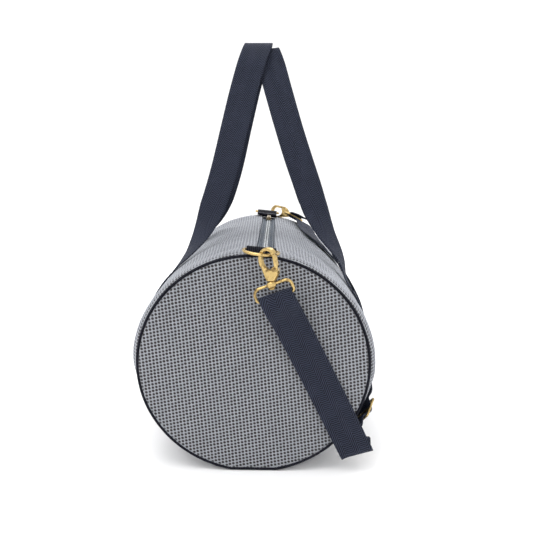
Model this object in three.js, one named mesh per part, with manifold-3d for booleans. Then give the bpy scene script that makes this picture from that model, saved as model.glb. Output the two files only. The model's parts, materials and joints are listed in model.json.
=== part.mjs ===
// A barrel-shaped carry sack with a zip along its top, two webbing handles and a
// clip-on shoulder strap. Millimetres, +Z up. The origin is the middle of the flat
// patch that the barrel rests on, and +Y runs along the barrel from front to rear.
import * as THREE from 'three';
import { mergeVertices } from 'three/addons/utils/BufferGeometryUtils.js';
import Module from 'manifold-3d';

const wasm = await Module();
wasm.setup();

// ---- driving dimensions ----
const barrelLength = 440;      // between the two piped seams
const endHalfWidth = 135;      // round end, outside of the piping
const endHalfHeight = 130;     // the end sags a little lower than it is wide
const floorSag = 2.5;          // how far the round section is pressed flat on the floor
const roll = 5.5;              // degrees that the filled barrel lies over to its right
const bulge = 12;              // how far the flanks swell between the two ends
const clothThickness = 2.5;
const seamInset = 1.5;         // the cloth lies this far inside the piping's outside
const clearance = 0.3;         // gap kept between touching pieces

const pipingRadius = 2.2;
const endPanelThickness = 2.2;

const zipOpening = 21;         // width of zip seen between the two cloth edges
const zipTapeWidth = 15;
const zipTapeThickness = 0.9;
const zipTapeDrop = 1.6;       // top of the tape below the inside of the cloth
const coilWidth = 2.8;
const coilHeight = 2.2;
const zipStopLength = 4;
const zipStopInset = 34;       // from the end of the tapes to a stop
const sliderLength = 15;
const sliderWidth = 9.5;
const sliderPlate = 1.4;
const sliderBridge = 3.2;      // height of the lug that holds the pull
const pullLength = 22;
const pullWidth = 7;
const pullThickness = 1.6;

const webbingWidth = 38;
const webbingThickness = 1.8;
const handleAngle = 56;        // degrees from the zip line down to where a handle leaves
const handleSpread = 85;       // from the middle of the barrel to the middle of a leg
const handleEndDrop = 30;      // degrees of the flank that a sewn end covers
const handleCrease = 3;        // bare webbing between a sewn end and the line a handle folds on

const ringInnerWidth = 35;
const ringInnerDepth = 19;
const ringWire = 3.5;
const frontRingTilt = 3;       // degrees that each ring's bow hangs below level
const rearRingTilt = 3;
const tabWidth = 33;
const tabLength = 22;
const tabOffset = -4;          // the tabs are sewn a little to the left of the zip
const tabThickness = 1.6;

const hookEyeWidth = 23;
const hookEyeLength = 28;
const hookClaw = 3.8;          // width of the metal round the eye
const hookThickness = 6.4;
const hookShank = 13;          // swivel to the bottom of the eye
const postRadius = 1.6;
const postSlop = 1.1;          // the strap loop is loose on the post
const gateWidth = 3.6;
const gatePinRadius = 0.8;
const bailInnerWidth = 39;
const bailInnerHeight = 11;
const bailWire = 3.4;
const bailCorner = 4.5;        // bend of the wire beside the hub
const bailFoot = 3.4;          // bend of the wire at the ends of the strap's bar
const bailHub = 5.2;           // height of the boss that the post turns in
const bailHubRadius = 4.6;
const hookLean = 7;            // degrees that the front hook hangs off plumb
const hookYaw = 30;            // degrees that the front hook is turned in the ring
const bailLean = 20;           // degrees, front strap loop

const adjusterInner = 40.5;
const adjusterLength = 30;
const adjusterFrame = 3.2;
const adjusterThickness = 2.2;

// ---- derived places ----
const radians = THREE.MathUtils.degToRad;
const halfLength = barrelLength / 2;
const sectionCentre = endHalfHeight - floorSag;
const bodyHalf = halfLength - pipingRadius - clearance;
const topRadius = endHalfHeight - seamInset;
const up = new THREE.Vector3(0, 0, 1);

// ---- materials ----
function makeMaterial(color, roughness, metalness) {
  return new THREE.MeshStandardMaterial({ color, roughness, metalness, side: THREE.DoubleSide });
}
const spacerCloth = makeMaterial(0x8f949b, 0.9, 0);
const navyWebbing = makeMaterial(0x2c3146, 0.85, 0);
const navyPiping = makeMaterial(0x1a1b26, 0.6, 0);
const zipTape = makeMaterial(0x3f4853, 0.85, 0);
const zipCoil = makeMaterial(0x8a8f94, 0.45, 0);
const antiqueBrass = makeMaterial(0xb8924a, 0.32, 1);
const springSteel = makeMaterial(0x9a9a98, 0.3, 1);

const bag = new THREE.Group();
function addPiece(name, geometry, material, parent = bag) {
  const mesh = new THREE.Mesh(geometry, material);
  mesh.name = name;
  parent.add(mesh);
  return mesh;
}

// ---- booleans ----
function toSolid(geometry) {
  const plain = geometry.clone();
  plain.deleteAttribute('normal');
  plain.deleteAttribute('uv');
  const merged = mergeVertices(plain, 1e-4);
  const vertProperties = new Float32Array(merged.attributes.position.array);
  const triVerts = new Uint32Array(merged.index.array);
  return new wasm.Manifold(new wasm.Mesh({ numProp: 3, vertProperties, triVerts }));
}
function fromSolid(solid) {
  const mesh = solid.getMesh();
  const geometry = new THREE.BufferGeometry();
  geometry.setAttribute('position', new THREE.BufferAttribute(mesh.vertProperties, 3));
  geometry.setIndex(new THREE.BufferAttribute(mesh.triVerts, 1));
  geometry.computeVertexNormals();
  return geometry;
}

// ---- shapes that several pieces use ----

// A closed solid between an outer and an inner grid of points. Both take (u, v) from 0 to 1.
function shellSolid(outer, inner, uSteps, vSteps) {
  const points = [];
  for (const face of [outer, inner]) {
    for (let i = 0; i <= uSteps; i += 1) {
      for (let j = 0; j <= vSteps; j += 1) {
        points.push(...face(i / uSteps, j / vSteps).toArray());
      }
    }
  }
  const row = vSteps + 1;
  const layer = (uSteps + 1) * row;
  const at = (side, i, j) => side * layer + i * row + j;
  const index = [];
  const quad = (a, b, c, d) => index.push(a, b, c, a, c, d);
  for (let i = 0; i < uSteps; i += 1) {
    for (let j = 0; j < vSteps; j += 1) {
      quad(at(0, i, j), at(0, i + 1, j), at(0, i + 1, j + 1), at(0, i, j + 1));
      quad(at(1, i, j), at(1, i, j + 1), at(1, i + 1, j + 1), at(1, i + 1, j));
    }
    quad(at(0, i, 0), at(1, i, 0), at(1, i + 1, 0), at(0, i + 1, 0));
    quad(at(0, i, vSteps), at(0, i + 1, vSteps), at(1, i + 1, vSteps), at(1, i, vSteps));
  }
  for (let j = 0; j < vSteps; j += 1) {
    quad(at(0, 0, j), at(0, 0, j + 1), at(1, 0, j + 1), at(1, 0, j));
    quad(at(0, uSteps, j), at(1, uSteps, j), at(1, uSteps, j + 1), at(0, uSteps, j + 1));
  }
  const geometry = new THREE.BufferGeometry();
  geometry.setAttribute('position', new THREE.Float32BufferAttribute(points, 3));
  geometry.setIndex(index);
  return outwards(geometry);
}

// Turns a closed solid's faces round if its volume comes out negative.
function outwards(geometry) {
  const position = geometry.attributes.position;
  const index = geometry.index.array;
  const [a, b, c] = [new THREE.Vector3(), new THREE.Vector3(), new THREE.Vector3()];
  let volume = 0;
  for (let i = 0; i < index.length; i += 3) {
    a.fromBufferAttribute(position, index[i]);
    b.fromBufferAttribute(position, index[i + 1]);
    c.fromBufferAttribute(position, index[i + 2]);
    volume += a.dot(b.cross(c));
  }
  if (volume < 0) {
    for (let i = 0; i < index.length; i += 3) {
      [index[i], index[i + 1]] = [index[i + 1], index[i]];
    }
  }
  geometry.computeVertexNormals();
  return geometry;
}

// Webbing that follows stations: each is [x, y, z, width direction].
function ribbonSolid(stations, width, thickness, steps) {
  const middle = new THREE.CatmullRomCurve3(stations.map((s) => new THREE.Vector3(s[0], s[1], s[2])),
    false, 'centripetal');
  const across = new THREE.CatmullRomCurve3(stations.map((s) => s[3].clone().normalize()),
    false, 'catmullrom', 0.3);
  const frame = (t) => {
    const tangent = middle.getTangent(t);
    const side = across.getPoint(t);
    side.addScaledVector(tangent, -side.dot(tangent)).normalize();
    const normal = new THREE.Vector3().crossVectors(tangent, side);
    return { point: middle.getPoint(t), side, normal };
  };
  const face = (height) => (u, v) => {
    const { point, side, normal } = frame(u);
    return point.addScaledVector(side, (v - 0.5) * width).addScaledVector(normal, height);
  };
  return shellSolid(face(thickness / 2), face(-thickness / 2), steps, 1);
}

// ---- barrel ----

// 0 at the piped ends, 1 in the middle: how much the cloth has swelled.
function swell(y) {
  const share = Math.min(Math.abs(y) / halfLength, 1);
  return (1 - share ** 3) ** 0.6;
}
// A point round the barrel. The angle is in degrees from the top, clockwise from the front.
function barrelPoint(angle, y, offset, floor) {
  const away = Math.abs(THREE.MathUtils.euclideanModulo(angle - roll + 180, 360) - 180);
  const flank = THREE.MathUtils.smoothstep(away, 20, 95);
  const grown = offset + bulge * swell(y) * flank;
  const turn = radians(angle);
  const x = (endHalfWidth + grown) * Math.sin(turn);
  const z = sectionCentre + (endHalfHeight + grown) * Math.cos(turn);
  return new THREE.Vector3(x, y, Math.max(z, floor));
}

function bodyPanel() {
  const half = THREE.MathUtils.radToDeg(Math.asin(zipOpening / 2 / topRadius));
  const span = 360 - 2 * half;
  const face = (offset, floor) => (u, v) =>
    barrelPoint(roll + half + span * u, (2 * v - 1) * bodyHalf, offset, floor);
  const outer = face(-seamInset, 0);
  const inner = face(-seamInset - clothThickness, clothThickness);
  return shellSolid(outer, inner, 60, 12);
}

function endOutline(offset, floor, steps) {
  const points = [];
  for (let i = 0; i < steps; i += 1) {
    const point = barrelPoint(360 * i / steps, halfLength, offset, floor);
    points.push(new THREE.Vector2(point.x, point.z));
  }
  return points;
}
function endPanel() {
  const rim = 2 * (pipingRadius + clearance);
  const shape = new THREE.Shape(endOutline(-rim, rim, 60));
  const plate = new THREE.ExtrudeGeometry(shape, { depth: endPanelThickness, bevelEnabled: false });
  plate.translate(0, 0, -endPanelThickness / 2);
  return plate.rotateX(Math.PI / 2);
}
function pipingRing() {
  const points = endOutline(-pipingRadius, pipingRadius, 72);
  const path = new THREE.CatmullRomCurve3(points.map((p) => new THREE.Vector3(p.x, 0, p.y)), true);
  return new THREE.TubeGeometry(path, 72, pipingRadius, 6, true);
}

addPiece('body_panel', bodyPanel(), spacerCloth);
for (const [end, side] of [['front', -1], ['rear', 1]]) {
  addPiece(`${end}_end_panel`, endPanel(), spacerCloth).position.y = side * halfLength;
  addPiece(`${end}_piping`, pipingRing(), navyPiping).position.y = side * halfLength;
}

// ---- zip, in a frame at the top of the barrel turned to the roll ----
const zipGroup = new THREE.Group();
const zipTop = barrelPoint(roll, 0, -seamInset - clothThickness, 0);
zipGroup.position.copy(zipTop);
zipGroup.rotation.y = radians(roll);
bag.add(zipGroup);

const tapeHalf = bodyHalf - 1;
const tapeTop = -zipTapeDrop;
const coilCentre = tapeTop + clearance + coilHeight / 2;
const chainHalf = tapeHalf - zipStopInset - zipStopLength;
const sliderRest = chainHalf - sliderLength / 2;

function boxAt(width, depth, height, x, y, z) {
  return new THREE.BoxGeometry(width, depth, height).translate(x, y, z);
}
function coilHalf(side) {
  const path = new THREE.Shape();
  const inner = side * 0.15;
  const outer = side * coilWidth;
  path.moveTo(inner, -coilHeight / 2);
  path.lineTo(outer, -coilHeight / 2);
  path.lineTo(outer, coilHeight * 0.1);
  path.lineTo(outer - side * 0.9, coilHeight / 2);
  path.lineTo(inner, coilHeight / 2);
  const bar = new THREE.ExtrudeGeometry(path, { depth: 2 * chainHalf, bevelEnabled: false, steps: 1 });
  bar.translate(0, 0, -chainHalf);
  bar.rotateX(Math.PI / 2);
  return bar.translate(0, 0, coilCentre);
}
for (const [name, side] of [['left', -1], ['right', 1]]) {
  const middle = side * (zipTapeWidth / 2 + 0.15);
  const tapeCentre = tapeTop - zipTapeThickness / 2;
  addPiece(`${name}_zip_tape`,
    boxAt(zipTapeWidth, 2 * tapeHalf, zipTapeThickness, middle, 0, tapeCentre), zipTape, zipGroup);
  addPiece(`${name}_zip_coil`, coilHalf(side), zipCoil, zipGroup);
}
for (const [name, side] of [['front', -1], ['rear', 1]]) {
  const stop = boxAt(2 * coilWidth, zipStopLength - clearance, coilHeight,
    0, side * (chainHalf + clearance + zipStopLength / 2), coilCentre);
  addPiece(`${name}_zip_stop`, stop, antiqueBrass, zipGroup);
}

const sliderBottom = coilCentre + coilHeight / 2 + clearance;
const sliderTop = sliderBottom + sliderPlate;
const lugHole = 0.9;           // half the height of the pull's pin
const lugSlack = 0.7;
const lugCentre = sliderTop + sliderBridge - 1.9;
function zipSlider() {
  const shape = new THREE.Shape();
  shape.moveTo(-sliderWidth * 0.32, -sliderLength / 2);
  shape.lineTo(sliderWidth * 0.32, -sliderLength / 2);
  shape.lineTo(sliderWidth / 2, sliderLength * 0.18);
  shape.absarc(0, sliderLength / 2 - sliderWidth / 2, sliderWidth / 2, 0, Math.PI, false);
  shape.lineTo(-sliderWidth / 2, sliderLength * 0.18);
  const plate = new THREE.ExtrudeGeometry(shape, { depth: sliderPlate, bevelEnabled: false, curveSegments: 8 });
  plate.translate(0, 0, sliderBottom);
  const [lugWidth, lugLength] = [2.2, 8];
  const [lipWidth, lipInset, lipBite] = [0.9, 0.75, 0.3];
  const lug = boxAt(lugWidth, lugLength, sliderBridge + 0.4, 0, 0, sliderTop + sliderBridge / 2 - 0.2);
  const hole = new THREE.CylinderGeometry(lugHole + lugSlack, lugHole + lugSlack, 6, 12).rotateZ(Math.PI / 2);
  hole.translate(0, 0, lugCentre);
  const lips = [-1, 1].map((side) =>
    boxAt(lipWidth, sliderLength * 0.55, coilHeight, side * (sliderWidth / 2 - lipInset), 1,
      sliderBottom - coilHeight / 2 + lipBite));
  let solid = toSolid(plate).add(toSolid(lug)).subtract(toSolid(hole));
  for (const lip of lips) {
    solid = solid.add(toSolid(lip));
  }
  return fromSolid(solid);
}
// The pull lies to the rear at rest. Its front end is a pin held in the slider's lug.
function zipPull() {
  const shape = new THREE.Shape();
  shape.moveTo(-pullWidth / 2, -lugHole);
  shape.lineTo(pullWidth / 2, -lugHole);
  shape.lineTo(pullWidth / 2 - 1, pullLength - pullWidth / 2);
  shape.absarc(0, pullLength - pullWidth / 2, pullWidth / 2 - 1, 0, Math.PI, false);
  const [slotHalf, slotEnd] = [1.9, 7];
  const slot = new THREE.Path();
  slot.moveTo(-slotHalf, lugHole);
  slot.lineTo(-slotHalf, slotEnd);
  slot.lineTo(slotHalf, slotEnd);
  slot.lineTo(slotHalf, lugHole);
  const tip = new THREE.Path();
  tip.absarc(0, pullLength - pullWidth / 2, 1.5, 0, 2 * Math.PI, true);
  shape.holes.push(slot, tip);
  const plate = new THREE.ExtrudeGeometry(shape, {
    depth: pullThickness, bevelEnabled: false, curveSegments: 10,
  });
  return plate.translate(0, 0, -pullThickness / 2);
}
addPiece('zip_slider', zipSlider(), antiqueBrass, zipGroup).position.y = sliderRest;
const pull = addPiece('zip_pull', zipPull(), antiqueBrass, zipGroup);
pull.position.set(0, sliderRest, lugCentre);
pull.rotation.x = radians(6);

// ---- ring tabs and D-rings ----

// D-ring about its straight bar, which lies along X. The curve bows towards -Y.
const ringCorner = 3;
const ringHalfWidth = (ringInnerWidth + ringWire) / 2;
function ringBow(degrees) {
  const turn = radians(degrees);
  const bow = ringInnerDepth + ringWire - ringCorner;
  const y = -ringCorner - bow * Math.abs(Math.sin(turn)) ** 0.8;
  return new THREE.Vector3(ringHalfWidth * Math.cos(turn), y, 0);
}
function ringWireGeometry() {
  const points = [];
  const straight = (x, y) => points.push(new THREE.Vector3(x, y, 0));
  for (let i = 0; i <= 4; i += 1) {
    straight(-ringHalfWidth + ringCorner + (2 * ringHalfWidth - 2 * ringCorner) * i / 4, 0);
  }
  straight(ringHalfWidth - ringCorner * 0.3, -ringCorner * 0.3);
  for (let i = 0; i <= 12; i += 1) {
    points.push(ringBow(180 * i / 12));
  }
  straight(-ringHalfWidth + ringCorner * 0.3, -ringCorner * 0.3);
  const path = new THREE.CatmullRomCurve3(points, true, 'centripetal');
  return new THREE.TubeGeometry(path, 48, ringWire / 2, 8, true);
}
// A strip of webbing folded round the ring's bar, its two layers sewn flat on the barrel.
function ringTab() {
  const inside = ringWire / 2 + clearance + 0.2;
  const loop = inside + tabThickness / 2;
  const stations = [];
  const side = new THREE.Vector3(1, 0, 0);
  stations.push([0, tabLength, -loop, side]);
  stations.push([0, tabLength * 0.5, -loop, side]);
  for (let i = 0; i <= 6; i += 1) {
    const turn = -Math.PI / 2 - Math.PI * i / 6;
    stations.push([0, loop * Math.cos(turn), loop * Math.sin(turn), side]);
  }
  stations.push([0, tabLength * 0.3, loop * 0.75, side]);
  stations.push([0, tabLength * 0.55, -loop + tabThickness + clearance + 0.5, side]);
  stations.push([0, tabLength, -loop + tabThickness + clearance, side]);
  return ribbonSolid(stations, tabWidth, tabThickness, 32);
}
const tabRise = ringWire / 2 + tabThickness + clearance + 0.5;
const ringBarY = halfLength + pipingRadius + 1;
const ringAxis = barrelPoint(roll, ringBarY, tabRise + clearance, 0);
ringAxis.x += tabOffset;
const rings = {};
for (const [end, side, tilt] of [['front', 1, frontRingTilt], ['rear', -1, rearRingTilt]]) {
  const group = new THREE.Group();
  group.position.set(ringAxis.x, -side * ringAxis.y, ringAxis.z);
  group.rotation.set(0, radians(roll), 0);
  const turned = new THREE.Group();
  turned.rotation.z = side === 1 ? 0 : Math.PI;
  group.add(turned);
  bag.add(group);
  addPiece(`${end}_ring_tab`, ringTab(), navyWebbing, turned);
  rings[end] = addPiece(`${end}_d_ring`, ringWireGeometry(), antiqueBrass, turned);
  rings[end].rotation.x = radians(tilt);
}

// ---- swivel snap hooks. Frame: origin in the bail's hub, +Z along the hook to its eye ----
const eyeCentre = hookShank + hookEyeLength / 2;
const eyeRadius = hookEyeWidth / 2;
const gatePivot = { x: eyeRadius - 2.4, z: hookShank + 3 };
const knuckle = 2.3;
const forkHalf = 2.4;
const knuckleDepth = 1.9;
const shankGap = 1.4;          // lets the strap loop lean on the post
const nose = 32;               // degrees above the eye's middle where the claw ends
function ovalPoint(halfWidth, halfLengthOfEye, degrees) {
  return [halfWidth * Math.cos(radians(degrees)), eyeCentre + halfLengthOfEye * Math.sin(radians(degrees))];
}
function hookOutline() {
  const shape = new THREE.Shape();
  shape.moveTo(-4.2, bailHub / 2 + shankGap);
  for (let angle = 222; angle >= nose; angle -= 12) {
    shape.lineTo(...ovalPoint(eyeRadius, hookEyeLength / 2, angle));
  }
  shape.lineTo(...ovalPoint(eyeRadius, hookEyeLength / 2, nose));
  for (let angle = nose; angle <= 320; angle += 12) {
    shape.lineTo(...ovalPoint(eyeRadius - hookClaw, hookEyeLength / 2 - hookClaw, angle));
  }
  shape.lineTo(gatePivot.x - knuckle + 0.2, gatePivot.z + knuckle);
  shape.lineTo(gatePivot.x + knuckle * 0.8, gatePivot.z + knuckle);
  shape.lineTo(gatePivot.x + knuckle + 0.3, gatePivot.z);
  shape.lineTo(eyeRadius - 2, hookShank - 3);
  shape.lineTo(5.2, bailHub / 2 + shankGap);
  return shape;
}
function hookSolid() {
  const bevel = 1.1;
  const depth = hookThickness - 2 * bevel;
  const body = new THREE.ExtrudeGeometry(hookOutline(), {
    depth, bevelEnabled: true, bevelThickness: bevel, bevelSize: 0.7, bevelOffset: -0.7, bevelSegments: 2,
  });
  body.translate(0, 0, -depth / 2).rotateX(Math.PI / 2);
  const postBottom = -bailHub / 2 - 3;
  const post = new THREE.CylinderGeometry(postRadius, postRadius, bailHub + 6.4, 14).rotateX(Math.PI / 2);
  post.translate(0, 0, 0.4);
  const cap = new THREE.LatheGeometry([[0, -1.5], [1.8, -1.3], [3.2, -0.4], [3.5, 0.1], [3.2, 0.5], [0, 0.5]]
    .map(([r, z]) => new THREE.Vector2(r, z)), 16).rotateX(Math.PI / 2);
  cap.translate(0, 0, postBottom + 0.9);
  const slot = boxAt(12, 2 * forkHalf, 2 * knuckle + 4.4, gatePivot.x + 2.4, 0, gatePivot.z + 1.4);
  const pinHole = new THREE.CylinderGeometry(gatePinRadius + clearance, gatePinRadius + clearance, 12, 14);
  pinHole.translate(gatePivot.x, 0, gatePivot.z);
  const solid = toSolid(body).subtract(toSolid(slot)).subtract(toSolid(pinHole));
  return fromSolid(solid.add(toSolid(post)).add(toSolid(cap)));
}
function gateSolid() {
  const [noseX, noseZ] = ovalPoint(eyeRadius - hookClaw / 2, hookEyeLength / 2 - hookClaw / 2, nose);
  const length = noseZ - gatePivot.z - 1.6;
  const lean = Math.atan2(gatePivot.x - noseX, length);
  const bar = new THREE.Shape();
  bar.moveTo(-gateWidth / 2, knuckle + 2.2);
  bar.lineTo(gateWidth / 2, knuckle + 2.2);
  bar.lineTo(gateWidth / 2, length - gateWidth / 2);
  bar.absarc(0, length - gateWidth / 2, gateWidth / 2, 0, Math.PI, false);
  const wide = new THREE.ExtrudeGeometry(bar, { depth: 4.2, bevelEnabled: false, curveSegments: 8 });
  wide.translate(0, 0, -2.1).rotateX(Math.PI / 2);
  const neckY = -forkHalf + clearance + knuckleDepth / 2;
  const neck = boxAt(gateWidth, knuckleDepth, knuckle + 3, 0, neckY, (knuckle + 3) / 2);
  const barrel = new THREE.CylinderGeometry(knuckle, knuckle, knuckleDepth, 18).translate(0, neckY, 0);
  const hole = new THREE.CylinderGeometry(gatePinRadius + clearance, gatePinRadius + clearance, 12, 14);
  const solid = toSolid(wide).add(toSolid(neck)).add(toSolid(barrel)).subtract(toSolid(hole));
  return fromSolid(solid).rotateY(-lean);
}
function gatePin() {
  return new THREE.CylinderGeometry(gatePinRadius, gatePinRadius, hookThickness - 0.2, 14);
}
// Three turns of wire round the pin, beside the gate's knuckle.
function gateSpring() {
  const turns = 3;
  const wire = 0.22;
  const pitch = 0.52;
  const coil = knuckle - wire - 0.4;
  const points = [];
  for (let i = 0; i <= turns * 10; i += 1) {
    const turn = 2 * Math.PI * i / 10;
    points.push(new THREE.Vector3(coil * Math.cos(turn), pitch * i / 10, coil * Math.sin(turn)));
  }
  const path = new THREE.CatmullRomCurve3(points);
  const ring = new THREE.Shape();
  ring.absarc(0, 0, wire, 0, 2 * Math.PI, false);
  const spring = new THREE.ExtrudeGeometry(ring, {
    steps: turns * 10, extrudePath: path, bevelEnabled: false, curveSegments: 3,
  });
  const start = -forkHalf + 2 * clearance + knuckleDepth + wire;
  return spring.translate(0, start, 0);
}
function bailSolid() {
  const halfWidth = (bailInnerWidth + bailWire) / 2;
  const height = bailInnerHeight + bailWire;
  const [corner, foot] = [bailCorner, bailFoot];
  const shape = new THREE.Path();
  shape.moveTo(-halfWidth + corner, 0);
  shape.lineTo(halfWidth - corner, 0);
  shape.absarc(halfWidth - corner, -corner, corner, Math.PI / 2, 0, true);
  shape.lineTo(halfWidth, -height + foot);
  shape.absarc(halfWidth - foot, -height + foot, foot, 0, -Math.PI / 2, true);
  shape.lineTo(-halfWidth + foot, -height);
  shape.absarc(-halfWidth + foot, -height + foot, foot, -Math.PI / 2, -Math.PI, true);
  shape.lineTo(-halfWidth, -corner);
  shape.absarc(-halfWidth + corner, -corner, corner, Math.PI, Math.PI / 2, true);
  const outline = shape.getSpacedPoints(64).slice(0, -1);
  const path = new THREE.CatmullRomCurve3(outline.map((p) => new THREE.Vector3(p.x, 0, p.y)), true);
  const wire = new THREE.TubeGeometry(path, 48, bailWire / 2, 8, true);
  const hub = new THREE.CylinderGeometry(bailHubRadius, bailHubRadius, bailHub, 18).rotateX(Math.PI / 2);
  const [holeRadius, holeLength] = [postRadius + postSlop, 12];
  const hole = new THREE.CylinderGeometry(holeRadius, holeRadius, holeLength, 16).rotateX(Math.PI / 2);
  return fromSolid(toSolid(wire).add(toSolid(hub)).subtract(toSolid(hole)));
}
// Builds one hook in a group whose +Z runs from the strap to the ring.
function addHook(end, place, turn, bailTurn) {
  const hook = new THREE.Group();
  hook.position.copy(place);
  hook.quaternion.copy(turn);
  const strapLoop = new THREE.Group();
  strapLoop.position.copy(place);
  strapLoop.quaternion.copy(bailTurn);
  bag.add(hook, strapLoop);
  addPiece(`${end}_hook`, hookSolid(), antiqueBrass, hook);
  addPiece(`${end}_hook_bail`, bailSolid(), antiqueBrass, strapLoop);
  const gate = new THREE.Group();
  gate.position.set(gatePivot.x, 0, gatePivot.z);
  hook.add(gate);
  addPiece(`${end}_hook_gate`, gateSolid(), antiqueBrass, gate);
  addPiece(`${end}_gate_pin`, gatePin(), antiqueBrass, gate);
  addPiece(`${end}_gate_spring`, gateSpring(), springSteel, gate);
  return strapLoop;
}
function frameTurn(xAxis, zAxis) {
  const z = zAxis.clone().normalize();
  const x = xAxis.clone().addScaledVector(z, -xAxis.dot(z)).normalize();
  const y = new THREE.Vector3().crossVectors(z, x);
  return new THREE.Quaternion().setFromRotationMatrix(new THREE.Matrix4().makeBasis(x, y, z));
}
// The front hook hangs from the ring's bow; the rear one lies on the barrel's shoulder.
const gripDepth = hookClaw + ringWire / 2 + 0.6;
const hookLength = hookShank + hookEyeLength - gripDepth;
function lean(degrees, yaw) {
  const upright = frameTurn(
    new THREE.Vector3(Math.cos(radians(degrees)), 0, Math.sin(radians(degrees))),
    new THREE.Vector3(-Math.sin(radians(degrees)), 0, Math.cos(radians(degrees))));
  const turned = new THREE.Quaternion().setFromAxisAngle(up, -radians(yaw));
  return upright.multiply(turned);
}
// The ring's wire sits "shift" to one side of the eye and "slack" below its inner end.
function hangHook(end, bowDegrees, turn, bailTurn, shift, slack) {
  bag.updateMatrixWorld(true);
  const grip = rings[end].localToWorld(ringBow(bowDegrees));
  const place = grip.addScaledVector(up.clone().applyQuaternion(turn), slack - hookLength);
  place.addScaledVector(new THREE.Vector3(1, 0, 0).applyQuaternion(turn), shift);
  return addHook(end, place, turn, bailTurn);
}
const frontBail = hangHook('front', 66, lean(hookLean, hookYaw), lean(bailLean, 0), 0, 2.75);

const rearPull = new THREE.Vector3(-0.78, 0.62, 0.2).normalize();
const rearLevel = new THREE.Vector3().crossVectors(rearPull, up).normalize();
const rearHookTurn = frameTurn(rearLevel.clone().multiplyScalar(0.24).addScaledVector(up, 0.97), rearPull);
const rearBailTurn = frameTurn(rearLevel.clone().multiplyScalar(0.93).addScaledVector(up, -0.36), rearPull);
const rearBail = hangHook('rear', 172, rearHookTurn, rearBailTurn, 3, 9);

// ---- handles ----

// Height and spread of a handle's leg above its base: [x, y, z, twist in degrees].
const leftLeg = [
  [-90, 84, 236, 15], [-70.7, 81, 266.5, 45], [-57.8, 75, 297.5, 69],
  [-44, 65, 342, 74], [-29.5, 50, 403, 76], [-17.5, 37, 452, 80], [-6, 20.5, 493, 86],
];
const rightLeg = [
  [110.5, 84, 230, 15], [89.2, 81, 266.5, 45], [77, 75, 293, 67], [68, 69, 320, 72],
  [54.3, 60, 360, 76], [41, 48, 402, 76], [27, 32, 450, 80], [17, 15, 485, 86],
];
const leftApex = [0.8, 0, 512.5];
const rightApex = [9, 0, 505.5];
const sewnOffset = -seamInset + clearance + webbingThickness / 2;

function handleBase(side) {
  const angle = roll + side * handleAngle;
  return { angle, point: barrelPoint(angle, handleSpread, sewnOffset + 0.6, 0) };
}
function handleSolid(side, leg, apex) {
  const base = handleBase(side).point;
  const rise = new THREE.Vector3(-side * Math.cos(radians(side * handleBase(side).angle)), 0,
    Math.sin(radians(side * handleBase(side).angle)));
  const near = [];
  const put = (x, y, z, twist) => {
    const turn = radians(twist);
    near.push([x, -y, z, new THREE.Vector3(-Math.sin(turn), -side * Math.cos(turn), 0)]);
  };
  put(base.x + 0.4 * rise.x, handleSpread, base.z + 0.4 * rise.z, 0);
  put(base.x + 12 * rise.x, handleSpread, base.z + 12 * rise.z, 4);
  leg.forEach((station) => put(...station));
  const far = near.map(([x, y, z, across]) => [x, -y, z, new THREE.Vector3(across.x, -across.y, 0)]).reverse();
  const stations = [...near, [...apex, new THREE.Vector3(-1, 0, 0)], ...far];
  return ribbonSolid(stations, webbingWidth, webbingThickness, 72);
}
// The end of a handle's webbing, sewn flat down the flank.
function sewnEnd(side, middle) {
  const top = roll + side * (handleAngle + THREE.MathUtils.radToDeg(handleCrease / endHalfWidth));
  const face = (height) => (u, v) => barrelPoint(top + side * handleEndDrop * u,
    middle + (v - 0.5) * webbingWidth, -seamInset + clearance + height, 0);
  return shellSolid(face(webbingThickness), face(0), 10, 4);
}
for (const [name, side, leg, apex] of [['left', -1, leftLeg, leftApex], ['right', 1, rightLeg, rightApex]]) {
  addPiece(`${name}_handle`, handleSolid(side, leg, apex), navyWebbing);
  addPiece(`${name}_handle_front_end`, sewnEnd(side, -handleSpread), navyWebbing);
  addPiece(`${name}_handle_rear_end`, sewnEnd(side, handleSpread), navyWebbing);
}

// ---- shoulder strap ----
const wrapRadius = bailWire / 2 + 1.5 + webbingThickness / 2;
const strapLean = 26.5;        // degrees that the front run slants from upright
const frontRun = 192;          // from the bail to where the strap starts to turn under
const strapLift = 3.4;         // middle of the strap above the cloth
const layerGap = 0.8;
const seamClear = halfLength + pipingRadius + 2.2;

// Stations round a bail's bar, from its back to its front when facing along -away.
function wrapStations(group, away) {
  group.updateWorldMatrix(true, false);
  const centre = group.localToWorld(new THREE.Vector3(0, 0, -bailInnerHeight - bailWire));
  const axis = new THREE.Vector3(1, 0, 0).transformDirection(group.matrixWorld);
  const heading = away.clone().addScaledVector(axis, -away.dot(axis)).normalize();
  const outward = new THREE.Vector3().crossVectors(heading, axis);
  const stations = [];
  for (let i = 0; i <= 6; i += 1) {
    const turn = Math.PI * (1 - i / 6);
    const point = centre.clone().addScaledVector(outward, wrapRadius * Math.cos(turn))
      .addScaledVector(heading, -wrapRadius * Math.sin(turn));
    stations.push([point.x, point.y, point.z, axis.clone()]);
  }
  return { centre, axis, heading, outward, stations };
}
const station = (x, y, z, across) => [x, y, z, across];
const inPlane = (degrees) => new THREE.Vector3(Math.cos(radians(degrees)), 0, Math.sin(radians(degrees)));

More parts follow.
